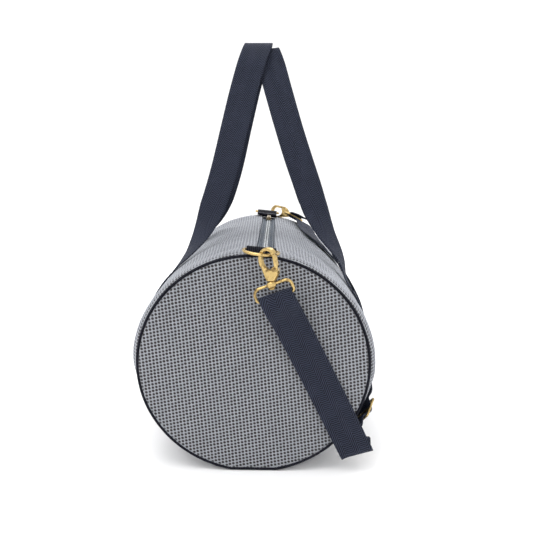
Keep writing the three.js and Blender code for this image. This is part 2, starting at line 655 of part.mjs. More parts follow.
// [degrees round the barrel, place along it], from the front seam to the rear shoulder.
const flankRoute = [[126, -212], [121, -196], [116, -176], [111, -148], [106, -110],
  [100, -66], [82, -18], [59, 28], [42, 64], [36, 104], [34, 146]];
const flankCurve = new THREE.CatmullRomCurve3(
  flankRoute.map(([angle, y]) => barrelPoint(angle, y, -seamInset + strapLift, 3)), false, 'centripetal');
const flankLength = flankCurve.getLength();
function flankFrame(reach) {
  const point = flankCurve.getPointAt(reach / flankLength);
  const heading = flankCurve.getTangentAt(reach / flankLength);
  const normal = new THREE.Vector3(
    point.x / endHalfWidth ** 2, 0, (point.z - sectionCentre) / endHalfHeight ** 2);
  normal.addScaledVector(heading, -normal.dot(heading)).normalize();
  return { point, heading, normal, across: new THREE.Vector3().crossVectors(heading, normal) };
}
// The strap dips under the adjuster's end bars and rides over its middle bar.
const adjusterReach = 27;      // from the start of the flank route to the adjuster's middle
const barSpan = adjusterLength - adjusterFrame;
const weaveHeight = (adjusterThickness + webbingThickness) / 2 + 1.55;
const adjusterRise = weaveHeight + 0.4;
function weave(reach) {
  const place = Math.abs(reach - adjusterReach) / barSpan;
  const fade = 1 - THREE.MathUtils.smoothstep(place, 0.5, 1);
  return place > 0.5 ? -fade : Math.cos(2 * Math.PI * place);
}
function flankStations() {
  const stations = [];
  const count = 64;
  for (let i = 0; i <= count; i += 1) {
    const reach = flankLength * i / count;
    const { point, normal, across } = flankFrame(reach);
    const rise = adjusterRise * (1 - THREE.MathUtils.smoothstep(reach, adjusterReach + barSpan / 2, 90));
    point.addScaledVector(normal, weaveHeight * weave(reach) + rise);
    stations.push(station(point.x, point.y, point.z, across));
  }
  return stations;
}
function strapSolid() {
  const down = new THREE.Vector3(Math.sin(radians(strapLean)), 0, -Math.cos(radians(strapLean)));
  const front = wrapStations(frontBail, down);
  const rear = wrapStations(rearBail, rearPull.clone().negate());
  const across = inPlane(strapLean);
  const runPoint = (length, y, direction = across) => {
    const point = front.centre.clone().addScaledVector(down, length);
    return station(point.x, y, point.z, direction);
  };
  const innerY = -seamClear;
  const outerY = innerY - webbingThickness - layerGap;
  const behind = [
    station(120, -halfLength + 4, 31, inPlane(34)),
    station(117, -halfLength - 3, 26, inPlane(24)),
    runPoint(frontRun, innerY - 0.5, inPlane(24)),
    runPoint(frontRun - 14, innerY),
    runPoint(frontRun * 0.55, innerY),
    runPoint(34, -seamClear - 7),
    runPoint(12, front.centre.y + wrapRadius),
  ];
  const before = [
    runPoint(12, front.centre.y - wrapRadius),
    runPoint(34, -seamClear - 13),
    runPoint(frontRun * 0.55, outerY),
    runPoint(frontRun - 14, outerY),
    runPoint(frontRun, outerY, inPlane(24)),
    runPoint(frontRun + 11, outerY + 3.6, inPlane(22)),
    station(119, -halfLength - 0.5, 20, inPlane(28)),
  ];
  const tail = rear.stations.map(([x, y, z, a]) => station(x, y, z, a));
  const rearOut = (length, side) => {
    const point = rear.centre.clone().addScaledVector(rear.heading, length)
      .addScaledVector(rear.outward, side * wrapRadius);
    return station(point.x, point.y, point.z, rear.axis.clone());
  };
  return ribbonSolid([
    ...behind, ...front.stations, ...before, ...flankStations(),
    rearOut(14, -1), ...tail, rearOut(14, 1),
  ], webbingWidth, webbingThickness, 220);
}
addPiece('shoulder_strap', strapSolid(), navyWebbing);

// A flat frame with two slots, and the bar between them.
function adjusterSolid() {
  const halfWidth = adjusterInner / 2 + adjusterFrame;
  const half = adjusterLength / 2;
  const corner = 3;
  const shape = new THREE.Shape();
  shape.moveTo(-halfWidth + corner, -half);
  shape.lineTo(halfWidth - corner, -half);
  shape.absarc(halfWidth - corner, -half + corner, corner, -Math.PI / 2, 0, false);
  shape.lineTo(halfWidth, half - corner);
  shape.absarc(halfWidth - corner, half - corner, corner, 0, Math.PI / 2, false);
  shape.lineTo(-halfWidth + corner, half);
  shape.absarc(-halfWidth + corner, half - corner, corner, Math.PI / 2, Math.PI, false);
  shape.lineTo(-halfWidth, -half + corner);
  shape.absarc(-halfWidth + corner, -half + corner, corner, Math.PI, 1.5 * Math.PI, false);
  for (const side of [-1, 1]) {
    const near = side * adjusterFrame / 2;
    const far = side * (half - adjusterFrame);
    const slot = new THREE.Path();
    slot.moveTo(-adjusterInner / 2, near);
    slot.lineTo(-adjusterInner / 2, far);
    slot.lineTo(adjusterInner / 2, far);
    slot.lineTo(adjusterInner / 2, near);
    shape.holes.push(slot);
  }
  const bevel = 0.6;
  const plate = new THREE.ExtrudeGeometry(shape, {
    depth: adjusterThickness - 2 * bevel, curveSegments: 6,
    bevelEnabled: true, bevelThickness: bevel, bevelSize: 0.4, bevelOffset: -0.4, bevelSegments: 1,
  });
  return plate.translate(0, 0, bevel - adjusterThickness / 2);
}
const adjuster = addPiece('strap_adjuster', adjusterSolid(), antiqueBrass);
const seat = flankFrame(adjusterReach);
adjuster.position.copy(seat.point).addScaledVector(seat.normal, adjusterRise);
adjuster.quaternion.copy(frameTurn(seat.across, seat.normal));

export default bag;
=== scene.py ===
import json
import math

import bmesh
import bpy
import numpy as np
from mathutils import Matrix, Vector, noise


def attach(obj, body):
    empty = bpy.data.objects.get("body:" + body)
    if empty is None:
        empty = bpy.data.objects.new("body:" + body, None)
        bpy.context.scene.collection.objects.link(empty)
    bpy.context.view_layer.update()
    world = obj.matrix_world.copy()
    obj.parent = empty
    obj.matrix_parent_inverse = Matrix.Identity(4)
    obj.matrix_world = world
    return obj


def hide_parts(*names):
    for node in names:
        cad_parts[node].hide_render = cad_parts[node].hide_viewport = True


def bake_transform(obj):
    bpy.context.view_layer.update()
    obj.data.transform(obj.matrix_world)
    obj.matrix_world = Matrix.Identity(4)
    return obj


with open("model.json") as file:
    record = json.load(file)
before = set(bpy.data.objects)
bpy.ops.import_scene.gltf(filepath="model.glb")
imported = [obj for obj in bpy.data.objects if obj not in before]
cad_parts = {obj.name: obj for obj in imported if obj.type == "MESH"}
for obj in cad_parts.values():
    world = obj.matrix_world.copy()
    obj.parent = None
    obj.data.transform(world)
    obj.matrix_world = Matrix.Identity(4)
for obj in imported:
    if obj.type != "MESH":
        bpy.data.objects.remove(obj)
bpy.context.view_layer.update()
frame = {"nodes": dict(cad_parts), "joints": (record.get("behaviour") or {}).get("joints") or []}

joints = {joint["name"]: joint for joint in frame["joints"]}
scene = bpy.context.scene

# Camera, lights and floor. Everything is in metres.
view = {"target": (0, 0, .200), "distance": .962, "elevation": 10.3, "azimuth": 1.6,
        "lens": 44.9, "shiftX": .0152, "shiftY": .005}


def addObject(name, data):
    obj = bpy.data.objects.new(name, data)
    scene.collection.objects.link(obj)
    return obj


def aimAt(obj, target):
    direction = Vector(target) - obj.location
    obj.rotation_euler = direction.to_track_quat("-Z", "Y").to_euler()


def makeCamera():
    elevation, azimuth = math.radians(view["elevation"]), math.radians(view["azimuth"])
    away = Vector((math.sin(azimuth) * math.cos(elevation),
                   -math.cos(azimuth) * math.cos(elevation), math.sin(elevation)))
    data = bpy.data.cameras.new("camera")
    data.lens, data.sensor_width = view["lens"], 36
    data.shift_x, data.shift_y = view["shiftX"], view["shiftY"]
    camera = addObject("camera", data)
    camera.location = Vector(view["target"]) + view["distance"] * away
    aimAt(camera, view["target"])
    scene.camera = camera


# [name, place, size, watts]
lamps = [["key", (-.7, -.9, 2.0), 1.2, 15], ["fill", (1.5, -1.3, .9), 1.8, 3],
         ["front", (-.6, -2.2, .9), 1.2, 5], ["back", (.1, 1.5, 1.8), 1.6, 28]]


def makeLights():
    for name, place, size, watts in lamps:
        data = bpy.data.lights.new(name, "AREA")
        data.size, data.energy = size, watts
        lamp = addObject(name, data)
        lamp.location = place
        aimAt(lamp, (0, 0, .22))
    world = bpy.data.worlds.new("studio")
    scene.world = world
    world.use_nodes = True
    tree = world.node_tree
    background = tree.nodes["Background"]
    background.inputs["Strength"].default_value = 1.0
    # brighter overhead than at the sides, as under a soft box
    height = tree.nodes.new("ShaderNodeSeparateXYZ")
    ramp = tree.nodes.new("ShaderNodeMapRange")
    tree.links.new(tree.nodes.new("ShaderNodeTexCoord").outputs["Generated"], height.inputs[0])
    tree.links.new(height.outputs[2], ramp.inputs["Value"])
    for label, value in (("From Min", -.1), ("From Max", .8), ("To Min", .42), ("To Max", 1.35)):
        ramp.inputs[label].default_value = value
    tree.links.new(ramp.outputs["Result"], background.inputs["Color"])


makeCamera()
makeLights()
scene.view_settings.view_transform = "Standard"
print("camera and lights")


# Shader helpers
def link(tree, value, socket):
    if isinstance(value, bpy.types.NodeSocket):
        tree.links.new(value, socket)
    else:
        socket.default_value = value


def calc(tree, operation, *values):
    node = tree.nodes.new("ShaderNodeMath")
    node.operation = operation
    for value, socket in zip(values, node.inputs):
        link(tree, value, socket)
    return node.outputs[0]


def plus(tree, first, second):
    return calc(tree, "ADD", first, second)


def minus(tree, first, second):
    return calc(tree, "SUBTRACT", first, second)


def times(tree, first, second):
    return calc(tree, "MULTIPLY", first, second)


def stretched(tree, vector, scale):
    node = tree.nodes.new("ShaderNodeVectorMath")
    node.operation = "MULTIPLY"
    link(tree, vector, node.inputs[0])
    link(tree, scale, node.inputs[1])
    return node.outputs["Vector"]


def mapRange(tree, value, low, high, toLow=0.0, toHigh=1.0):
    node = tree.nodes.new("ShaderNodeMapRange")
    node.interpolation_type = "SMOOTHSTEP"
    for part, socket in zip((value, low, high, toLow, toHigh), node.inputs):
        link(tree, part, socket)
    return node.outputs["Result"]


def mixColour(tree, share, first, second):
    node = tree.nodes.new("ShaderNodeMix")
    node.data_type = "RGBA"
    link(tree, share, node.inputs["Factor"])
    link(tree, first, node.inputs[6])
    link(tree, second, node.inputs[7])
    return node.outputs[2]


def grainOf(tree, vector, scale, detail=2.0):
    node = tree.nodes.new("ShaderNodeTexNoise")
    link(tree, vector, node.inputs["Vector"])
    link(tree, scale, node.inputs["Scale"])
    node.inputs["Detail"].default_value = detail
    return node.outputs["Fac"]


def makeGroup(name, inputs, outputs):
    tree = bpy.data.node_groups.new(name, "ShaderNodeTree")
    for label, kind, value in inputs:
        socket = tree.interface.new_socket(label, in_out="INPUT", socket_type=f"NodeSocket{kind}")
        socket.default_value = value
    for label, kind in outputs:
        tree.interface.new_socket(label, in_out="OUTPUT", socket_type=f"NodeSocket{kind}")
    ins, outs = tree.nodes.new("NodeGroupInput"), tree.nodes.new("NodeGroupOutput")
    return tree, ins.outputs, outs.inputs


def useGroup(tree, group, **values):
    node = tree.nodes.new("ShaderNodeGroup")
    node.node_tree = group
    for label, value in values.items():
        link(tree, value, node.inputs[label])
    return node.outputs


# Knitted spacer cloth: a lattice of round openings between raised yarns.
def makeSpacerGroup():
    tree, ins, outs = makeGroup("spacerKnit", [
        ("Vector", "Vector", (0, 0, 0)), ("Pitch", "Float", .004), ("Hole", "Float", .27),
        ("Softness", "Float", .09), ("Slant", "Float", .2), ("Lean", "Float", .08)],
        [("Hole", "Float"), ("Height", "Float"), ("Tone", "Float")])
    parts = tree.nodes.new("ShaderNodeSeparateXYZ")
    link(tree, ins["Vector"], parts.inputs[0])
    across, along = parts.outputs[0], parts.outputs[1]
    leaning = plus(tree, across, times(tree, along, ins["Lean"]))
    slanting = minus(tree, along, times(tree, across, ins["Slant"]))
    column, row = calc(tree, "DIVIDE", leaning, ins["Pitch"]), calc(tree, "DIVIDE", slanting, ins["Pitch"])
    cell = tree.nodes.new("ShaderNodeCombineXYZ")
    link(tree, calc(tree, "FLOOR", column), cell.inputs[0])
    link(tree, calc(tree, "FLOOR", row), cell.inputs[1])
    chance = tree.nodes.new("ShaderNodeTexWhiteNoise")
    chance.noise_dimensions = "2D"
    link(tree, cell.outputs[0], chance.inputs["Vector"])
    x = minus(tree, calc(tree, "FRACT", column), .5)
    y = minus(tree, calc(tree, "FRACT", row), .5)
    shift = times(tree, minus(tree, chance.outputs["Value"], .5), .09)
    x, y = plus(tree, x, shift), minus(tree, y, shift)
    long = times(tree, minus(tree, x, y), .64)
    short = times(tree, plus(tree, x, y), .78)
    squares = plus(tree, calc(tree, "POWER", long, 2.0), calc(tree, "POWER", short, 2.0))
    size = plus(tree, ins["Hole"], times(tree, shift, .6))
    fromEdge = minus(tree, calc(tree, "SQRT", squares), size)
    hole = mapRange(tree, fromEdge, times(tree, ins["Softness"], -1.0), ins["Softness"], 1.0, 0.0)
    ribs = calc(tree, "SINE", times(tree, plus(tree, column, times(tree, row, .25)), 2 * math.pi * 5))
    link(tree, hole, outs["Hole"])
    link(tree, minus(tree, times(tree, ribs, .1), hole), outs["Height"])
    tone = plus(tree, times(tree, ribs, .2), times(tree, chance.outputs["Value"], .5))
    link(tree, tone, outs["Tone"])
    return tree


# Herringbone webbing: chevrons in columns across the width, with the yarns that make them.
def makeHerringboneGroup():
    tree, ins, outs = makeGroup("herringbone", [
        ("Vector", "Vector", (0, 0, 0)), ("Column", "Float", .0085), ("Pitch", "Float", .0031)],
        [("Rib", "Float"), ("Height", "Float")])
    parts = tree.nodes.new("ShaderNodeSeparateXYZ")
    link(tree, ins["Vector"], parts.inputs[0])
    zigzag = calc(tree, "PINGPONG", parts.outputs[0], ins["Column"])
    phase = calc(tree, "DIVIDE", plus(tree, parts.outputs[1], zigzag), ins["Pitch"])
    rib = mapRange(tree, calc(tree, "SINE", times(tree, phase, 2 * math.pi)), -.7, .9)
    yarn = calc(tree, "SINE", times(tree, phase, 2 * math.pi * 4))
    warp = calc(tree, "SINE", calc(tree, "DIVIDE", times(tree, parts.outputs[0], 2 * math.pi), .0009))
    height = plus(tree, rib, plus(tree, times(tree, yarn, .12), times(tree, warp, .16)))
    link(tree, rib, outs["Rib"])
    link(tree, height, outs["Height"])
    return tree


# Plain weave: two sets of fine yarns crossing.
def makeWeaveGroup():
    tree, ins, outs = makeGroup("plainWeave", [("Vector", "Vector", (0, 0, 0)), ("Pitch", "Float", .0008)],
                                [("Height", "Float")])
    parts = tree.nodes.new("ShaderNodeSeparateXYZ")
    link(tree, ins["Vector"], parts.inputs[0])
    turns = [calc(tree, "DIVIDE", times(tree, parts.outputs[k], 2 * math.pi), ins["Pitch"])
             for k in (0, 1)]
    height = times(tree, calc(tree, "SINE", turns[0]), calc(tree, "SINE", turns[1]))
    link(tree, height, outs["Height"])
    return tree


# Wear on metal: tarnish in the hollows and rubbed, brighter high spots.
def makeWearGroup():
    tree, ins, outs = makeGroup("metalWear", [("Scale", "Float", 180.0), ("Amount", "Float", .5)],
                                [("Tarnish", "Float"), ("Rough", "Float"), ("Height", "Float")])
    place = tree.nodes.new("ShaderNodeTexCoord").outputs["Object"]
    clouds = grainOf(tree, place, ins["Scale"], 4.0)
    scratches = grainOf(tree, place, times(tree, ins["Scale"], 7.0), 3.0)
    edges = tree.nodes.new("ShaderNodeNewGeometry").outputs["Pointiness"]
    hollow = mapRange(tree, edges, .51, .44)
    dulled = calc(tree, "MAXIMUM", mapRange(tree, clouds, .48, .72), hollow)
    link(tree, times(tree, dulled, ins["Amount"]), outs["Tarnish"])
    link(tree, mapRange(tree, scratches, .3, .75, .2, .42), outs["Rough"])
    link(tree, plus(tree, clouds, times(tree, scratches, .3)), outs["Height"])
    return tree


spacerGroup, herringboneGroup = makeSpacerGroup(), makeHerringboneGroup()
weaveGroup, wearGroup = makeWeaveGroup(), makeWearGroup()


def newMaterial(name, **fixed):
    material = bpy.data.materials.new(name)
    material.use_nodes = True
    tree = material.node_tree
    shader = tree.nodes["Principled BSDF"]
    for label, value in fixed.items():
        shader.inputs[label.replace("_", " ")].default_value = value
    coords = tree.nodes.new("ShaderNodeTexCoord").outputs
    return material, tree, shader.inputs, coords


def bumpFrom(tree, height, distance, strength=1.0):
    node = tree.nodes.new("ShaderNodeBump")
    node.inputs["Strength"].default_value = strength
    node.inputs["Distance"].default_value = distance
    link(tree, height, node.inputs["Height"])
    return node.outputs["Normal"]


# A colour, a roughness and a relief, wired into a material's shader.
def dress(tree, shader, colour, rough, height, depth, strength=1.0):
    link(tree, colour, shader["Base Color"])
    link(tree, rough, shader["Roughness"])
    link(tree, bumpFrom(tree, height, depth, strength), shader["Normal"])


tabLook = {"rib": .0021}
# holeShade is painted shade: the near-black put into the knit's openings in place of the shade inside real
# holes
clothLook = {"pitch": .00406, "hole": .385, "yarnLight": (.36, .372, .40, 1),
             "yarnDark": (.20, .212, .235, 1), "holeShade": (.016, .012, .013, 1)}


def makeCloth(name, slant, lean):
    material, tree, shader, coords = newMaterial(
        name, Roughness=.85, Sheen_Weight=.55, Sheen_Roughness=.38, Sheen_Tint=(.86, .9, 1, 1))
    knit = useGroup(tree, spacerGroup, Vector=coords["UV"], Pitch=clothLook["pitch"], Hole=clothLook["hole"],
                    Slant=slant, Lean=lean)
    patches = grainOf(tree, coords["Object"], 60.0, 3.0)
    tone = plus(tree, times(tree, knit["Tone"], .6), times(tree, patches, .5))
    yarn = mixColour(tree, tone, clothLook["yarnDark"], clothLook["yarnLight"])
    # painted shade: the openings are coloured near-black, standing in for the shade inside them
    link(tree, mixColour(tree, knit["Hole"], yarn, clothLook["holeShade"]), shader["Base Color"])
    link(tree, bumpFrom(tree, knit["Height"], .0006, .8), shader["Normal"])
    return material


def makeWebbing():
    material, tree, shader, coords = newMaterial(
        "navyWebbing", Specular_IOR_Level=.14, Sheen_Weight=.06, Sheen_Roughness=.4,
        Sheen_Tint=(.55, .6, .85, 1))
    weave = useGroup(tree, herringboneGroup, Vector=coords["UV"])
    patches = grainOf(tree, coords["Object"], 45.0, 3.0)
    fuzz = grainOf(tree, coords["Object"], 1500.0, 2.0)
    base = mixColour(tree, weave["Rib"], (.004, .0048, .0095, 1), (.036, .043, .070, 1))
    aged = mixColour(tree, mapRange(tree, patches, .45, .7, 0.0, .2), base, (.030, .036, .06, 1))
    dress(tree, shader, aged, mapRange(tree, fuzz, .3, .7, .62, .82), weave["Height"], .0006)
    return material


def makeRibbedLook():
    material, tree, shader, coords = newMaterial("ribbedWebbing", Specular_IOR_Level=.15)
    parts = tree.nodes.new("ShaderNodeSeparateXYZ")
    link(tree, coords["UV"], parts.inputs[0])
    wave = calc(tree, "SINE", times(tree, parts.outputs[0], 2 * math.pi / tabLook["rib"]))
    weave = useGroup(tree, weaveGroup, Vector=coords["UV"], Pitch=.0011)
    height = plus(tree, wave, times(tree, weave["Height"], .3))
    colour = mixColour(tree, mapRange(tree, height, -1.0, 1.0), (.002, .002, .004, 1), (.017, .018, .028, 1))
    dress(tree, shader, colour, mapRange(tree, height, -1.0, 1.0, .85, .6), height, .0005)
    return material


def makePipingLook():
    material, tree, shader, coords = newMaterial("navyPiping", Specular_IOR_Level=.12)
    weave = useGroup(tree, weaveGroup, Vector=coords["UV"], Pitch=.0011)
    tone = mapRange(tree, weave["Height"], -1.0, 1.0)
    colour = mixColour(tree, tone, (.003, .003, .006, 1), (.009, .010, .018, 1))
    rough = mapRange(tree, grainOf(tree, coords["Object"], 300.0), .3, .7, .55, .75)
    dress(tree, shader, colour, rough, weave["Height"], .00015)
    return material


def makeTapeLook():
    material, tree, shader, coords = newMaterial(
        "slateTape", Specular_IOR_Level=.25, Sheen_Weight=.1, Sheen_Roughness=.4)
    weave = useGroup(tree, weaveGroup, Vector=coords["UV"], Pitch=.0010)
    streaks = grainOf(tree, stretched(tree, coords["UV"], (900.0, 25.0, 1.0)), 1.0, 3.0)
    tone = plus(tree, times(tree, weave["Height"], .2), streaks)
    colour = mixColour(tree, mapRange(tree, tone, .3, .8), (.022, .032, .048, 1), (.085, .115, .155, 1))
    dress(tree, shader, colour, mapRange(tree, streaks, .3, .7, .6, .85), weave["Height"], .00016)
    return material


def makeCoilLook():
    material, tree, shader, coords = newMaterial("greyCoil", Coat_Weight=.15, Coat_Roughness=.3)
    tone = grainOf(tree, stretched(tree, coords["Object"], (900.0, 60.0, 900.0)), 1.0, 3.0)
    colour = mixColour(tree, mapRange(tree, tone, .35, .65), (.20, .22, .23, 1), (.42, .44, .46, 1))
    dress(tree, shader, colour, mapRange(tree, tone, .3, .7, .32, .5), tone, .00008)
    return material


def makeMetal(name, bright, dull, amount):
    material, tree, shader, _ = newMaterial(name, Metallic=1.0)
    wear = useGroup(tree, wearGroup, Scale=170.0, Amount=amount)
    colour = mixColour(tree, wear["Tarnish"], bright, dull)
    dress(tree, shader, colour, wear["Rough"], wear["Height"], .00012, .35)
    return material


def makeThread(name, dark, light):
    material, tree, shader, coords = newMaterial(name, Roughness=.6, Sheen_Weight=.3)
    tone = grainOf(tree, coords["Object"], 1400.0, 2.0)
    link(tree, mixColour(tree, tone, dark, light), shader["Base Color"])
    link(tree, bumpFrom(tree, tone, .0001), shader["Normal"])
    return material


endCloth, bodyClothLook = makeCloth("spacerClothEnds", .232, .076), makeCloth("spacerClothBody", .06, .02)
webbing, ribbedWebbing, pipingLook = makeWebbing(), makeRibbedLook(), makePipingLook()
tapeLook, coilLook = makeTapeLook(), makeCoilLook()
brass = makeMetal("antiqueBrass", (.52, .375, .155, 1), (.10, .06, .025, 1), .85)
darkBrass = makeMetal("tarnishedBrass", (.16, .12, .06, 1), (.05, .035, .02, 1), .8)
steel = makeMetal("springSteel", (.55, .55, .54, 1), (.2, .19, .18, 1), .4)
navyThread = makeThread("navyThread", (.018, .02, .034, 1), (.05, .055, .08, 1))
greyThread = makeThread("greyThread", (.30, .32, .35, 1), (.48, .5, .53, 1))
print("materials")


# Mesh helpers
def meshObject(name, points, faces, material, uvs=None, turnOut=True):
    mesh = bpy.data.meshes.new(name)
    mesh.from_pydata([tuple(p) for p in points], [], [tuple(f) for f in faces])
    if uvs is not None:
        layer = mesh.uv_layers.new(name="UVMap")
        corner = np.zeros(len(mesh.loops), np.int32)
        mesh.loops.foreach_get("vertex_index", corner)
        layer.data.foreach_set("uv", np.asarray(uvs, np.float32)[corner].ravel())
    mesh.materials.append(material)
    if turnOut:
        work = bmesh.new()
        work.from_mesh(mesh)
        bmesh.ops.recalc_face_normals(work, faces=work.faces)
        work.to_mesh(mesh)
        work.free()
    mesh.shade_smooth()
    return addObject(name, mesh)


# Faces of a grid of points; either way round can close on itself.
def gridFaces(rows, columns, start=0, closeRows=False, closeColumns=False):
    faces = []
    for i in range(rows if closeRows else rows - 1):
        for j in range(columns if closeColumns else columns - 1):
            a, b = i * columns + j, i * columns + (j + 1) % columns
            c, d = ((i + 1) % rows) * columns + (j + 1) % columns, ((i + 1) % rows) * columns + j
            faces.append((start + a, start + b, start + c, start + d))
    return faces


# A closed shell between an outer and an inner grid, joined round all four edges.
def shellObject(name, outer, inner, uvGrid, material):
    rows, columns = outer.shape[:2]
    layer = rows * columns
    faces = gridFaces(rows, columns) + [tuple(reversed(f)) for f in gridFaces(rows, columns, layer)]
    rim = [i * columns for i in range(rows)] + [(rows - 1) * columns + j for j in range(1, columns)]
    rim += [i * columns + columns - 1 for i in range(rows - 2, -1, -1)]
    rim += list(range(columns - 2, 0, -1))
    for k, a in enumerate(rim):
        b = rim[(k + 1) % len(rim)]
        faces.append((a, b, b + layer, a + layer))
    points = np.concatenate([outer.reshape(-1, 3), inner.reshape(-1, 3)])
    uvs = np.concatenate([uvGrid.reshape(-1, 2), uvGrid.reshape(-1, 2)])
    return meshObject(name, points, faces, material, uvs)


# Centripetal Catmull-Rom curve through the points, sampled evenly by parameter.
def splinePoints(points, count):
    points = np.asarray(points, float)
    first, last = 2 * points[0] - points[1], 2 * points[-1] - points[-2]
    padded = np.vstack([first, points, last])
    result = []
    for t in np.linspace(0, len(points) - 1, count):
        i = min(int(t), len(points) - 2)
        p0, p1, p2, p3 = padded[i:i + 4]
        knots = [0.0]
        for a, b in ((p0, p1), (p1, p2), (p2, p3)):
            knots.append(knots[-1] + max(np.linalg.norm(b - a), 1e-6) ** .5)
        s = knots[1] + (t - i) * (knots[2] - knots[1])
        def blendOf(a, b, k, m):
            return ((knots[m] - s) * a + (s - knots[k]) * b) / (knots[m] - knots[k])
        a1, a2, a3 = blendOf(p0, p1, 0, 1), blendOf(p1, p2, 1, 2), blendOf(p2, p3, 2, 3)
        b1, b2 = blendOf(a1, a2, 0, 2), blendOf(a2, a3, 1, 3)
        result.append(blendOf(b1, b2, 1, 2))
    return np.array(result)


def reachAlong(points):
    return np.concatenate([[0], np.cumsum(np.linalg.norm(np.diff(points, axis=0), axis=1))])


def pathLength(points):
    return float(np.linalg.norm(np.diff(points, axis=0), axis=1).sum())


# Points at even distances along a path, with whatever else is carried along it.
def evenly(points, spacing, *carried):
    reach = reachAlong(points)
    places = np.linspace(0, reach[-1], max(int(round(reach[-1] / spacing)), 2) + 1)
    def resample(values):
        return np.stack([np.interp(places, reach, values[:, k]) for k in range(values.shape[1])], axis=1)
    return [resample(values) for values in (points, *carried)]


# A curve through a strip's stations, with the way across it carried along.
def sampled(points, across, perStation, spacing):
    count, across = perStation * len(points), np.array(across)
    places = np.linspace(0, len(points) - 1, count)
    carried = np.array([np.interp(places, range(len(points)), across[:, k]) for k in range(3)]).T
    return evenly(splinePoints(points, count), spacing, carried)


def unit(vectors):
    return vectors / np.linalg.norm(vectors, axis=-1, keepdims=True)


# The frame of a strip of webbing: along it, across it, and out of its face.
def stripFrame(points, across):
    along = unit(np.gradient(points, axis=0))
    across = unit(across - (across * along).sum(1, keepdims=True) * along)
    return along, across, np.cross(along, across)


# Webbing with rounded selvedges. "rise" thickens its outer face along the way.
def stripObject(name, points, across, width, thickness, material, rise=None):
    along, across, face = stripFrame(points, across)
    half, edge = width / 2, thickness / 2
    rise = np.zeros(len(points)) if rise is None else rise
    flat = np.linspace(-1, 1, 9) * (half - edge)
    section = []
    for way in (1, -1):
        section += [(x, way * edge, max(way, 0)) for x in flat[::way]]
        for a in (.7, 1.57, 2.44):
            lift = way * math.cos(a)
            section.append((way * (half - edge + edge * math.sin(a)), edge * lift, max(lift, 0)))
    reach = reachAlong(points)
    rings, uvs = [], []
    for i in range(len(points)):
        for x, height, share in section:
            rings.append(points[i] + x * across[i] + (height + share * rise[i]) * face[i])
            uvs.append((x + half, reach[i]))
    faces = gridFaces(len(points), len(section), closeColumns=True)
    faces.append(tuple(range(len(section))))
    faces.append(tuple((len(points) - 1) * len(section) + k for k in range(len(section)))[::-1])
    return meshObject(name, rings, faces, material, uvs)


# A round wire along a path. Open wires get flat ends.
def wireObject(name, points, radius, sides, material, closed=True):
    points = np.asarray(points, float)
    count = len(points)
    if closed:
        along = unit(np.roll(points, -1, 0) - np.roll(points, 1, 0))
    else:
        along = unit(np.gradient(points, axis=0))
    side = np.cross(along[0], (0.31, 0.42, 0.85))
    normals = []
    for k in range(count):
        side = side - side.dot(along[k]) * along[k]
        side = side / np.linalg.norm(side)
        normals.append(side)
    normals = np.array(normals)
    if closed:
        other = np.cross(along[0], normals[0])
        carried = normals[-1] - normals[-1].dot(along[0]) * along[0]
        slip = math.atan2(carried.dot(other), carried.dot(normals[0]))
    else:
        slip = 0
    reach = reachAlong(points)
    rings, uvs = [], []
    for k in range(count):
        other = np.cross(along[k], normals[k])
        for j in range(sides):
            turn = 2 * math.pi * j / sides - slip * k / count
            rings.append(points[k] + radius * (math.cos(turn) * normals[k] + math.sin(turn) * other))
            uvs.append((abs(j / sides - .5) * 2 * math.pi * radius, reach[k]))
    faces = gridFaces(count, sides, closeRows=closed, closeColumns=True)
    if not closed:
        faces += [tuple(range(sides)), tuple((count - 1) * sides + k for k in range(sides))[::-1]]
    return meshObject(name, rings, faces, material, uvs)


def finishPiece(obj, body, slot, *nodes):
    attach(obj, body)
    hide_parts(*nodes)


# Turns an object with live modifiers into a plain mesh object.
def applied(obj, name):
    graph = bpy.context.evaluated_depsgraph_get()
    mesh = bpy.data.meshes.new_from_object(
        obj.evaluated_get(graph), preserve_all_data_layers=True, depsgraph=graph)
    plain = addObject(name, mesh)
    bpy.data.objects.remove(obj)
    return plain


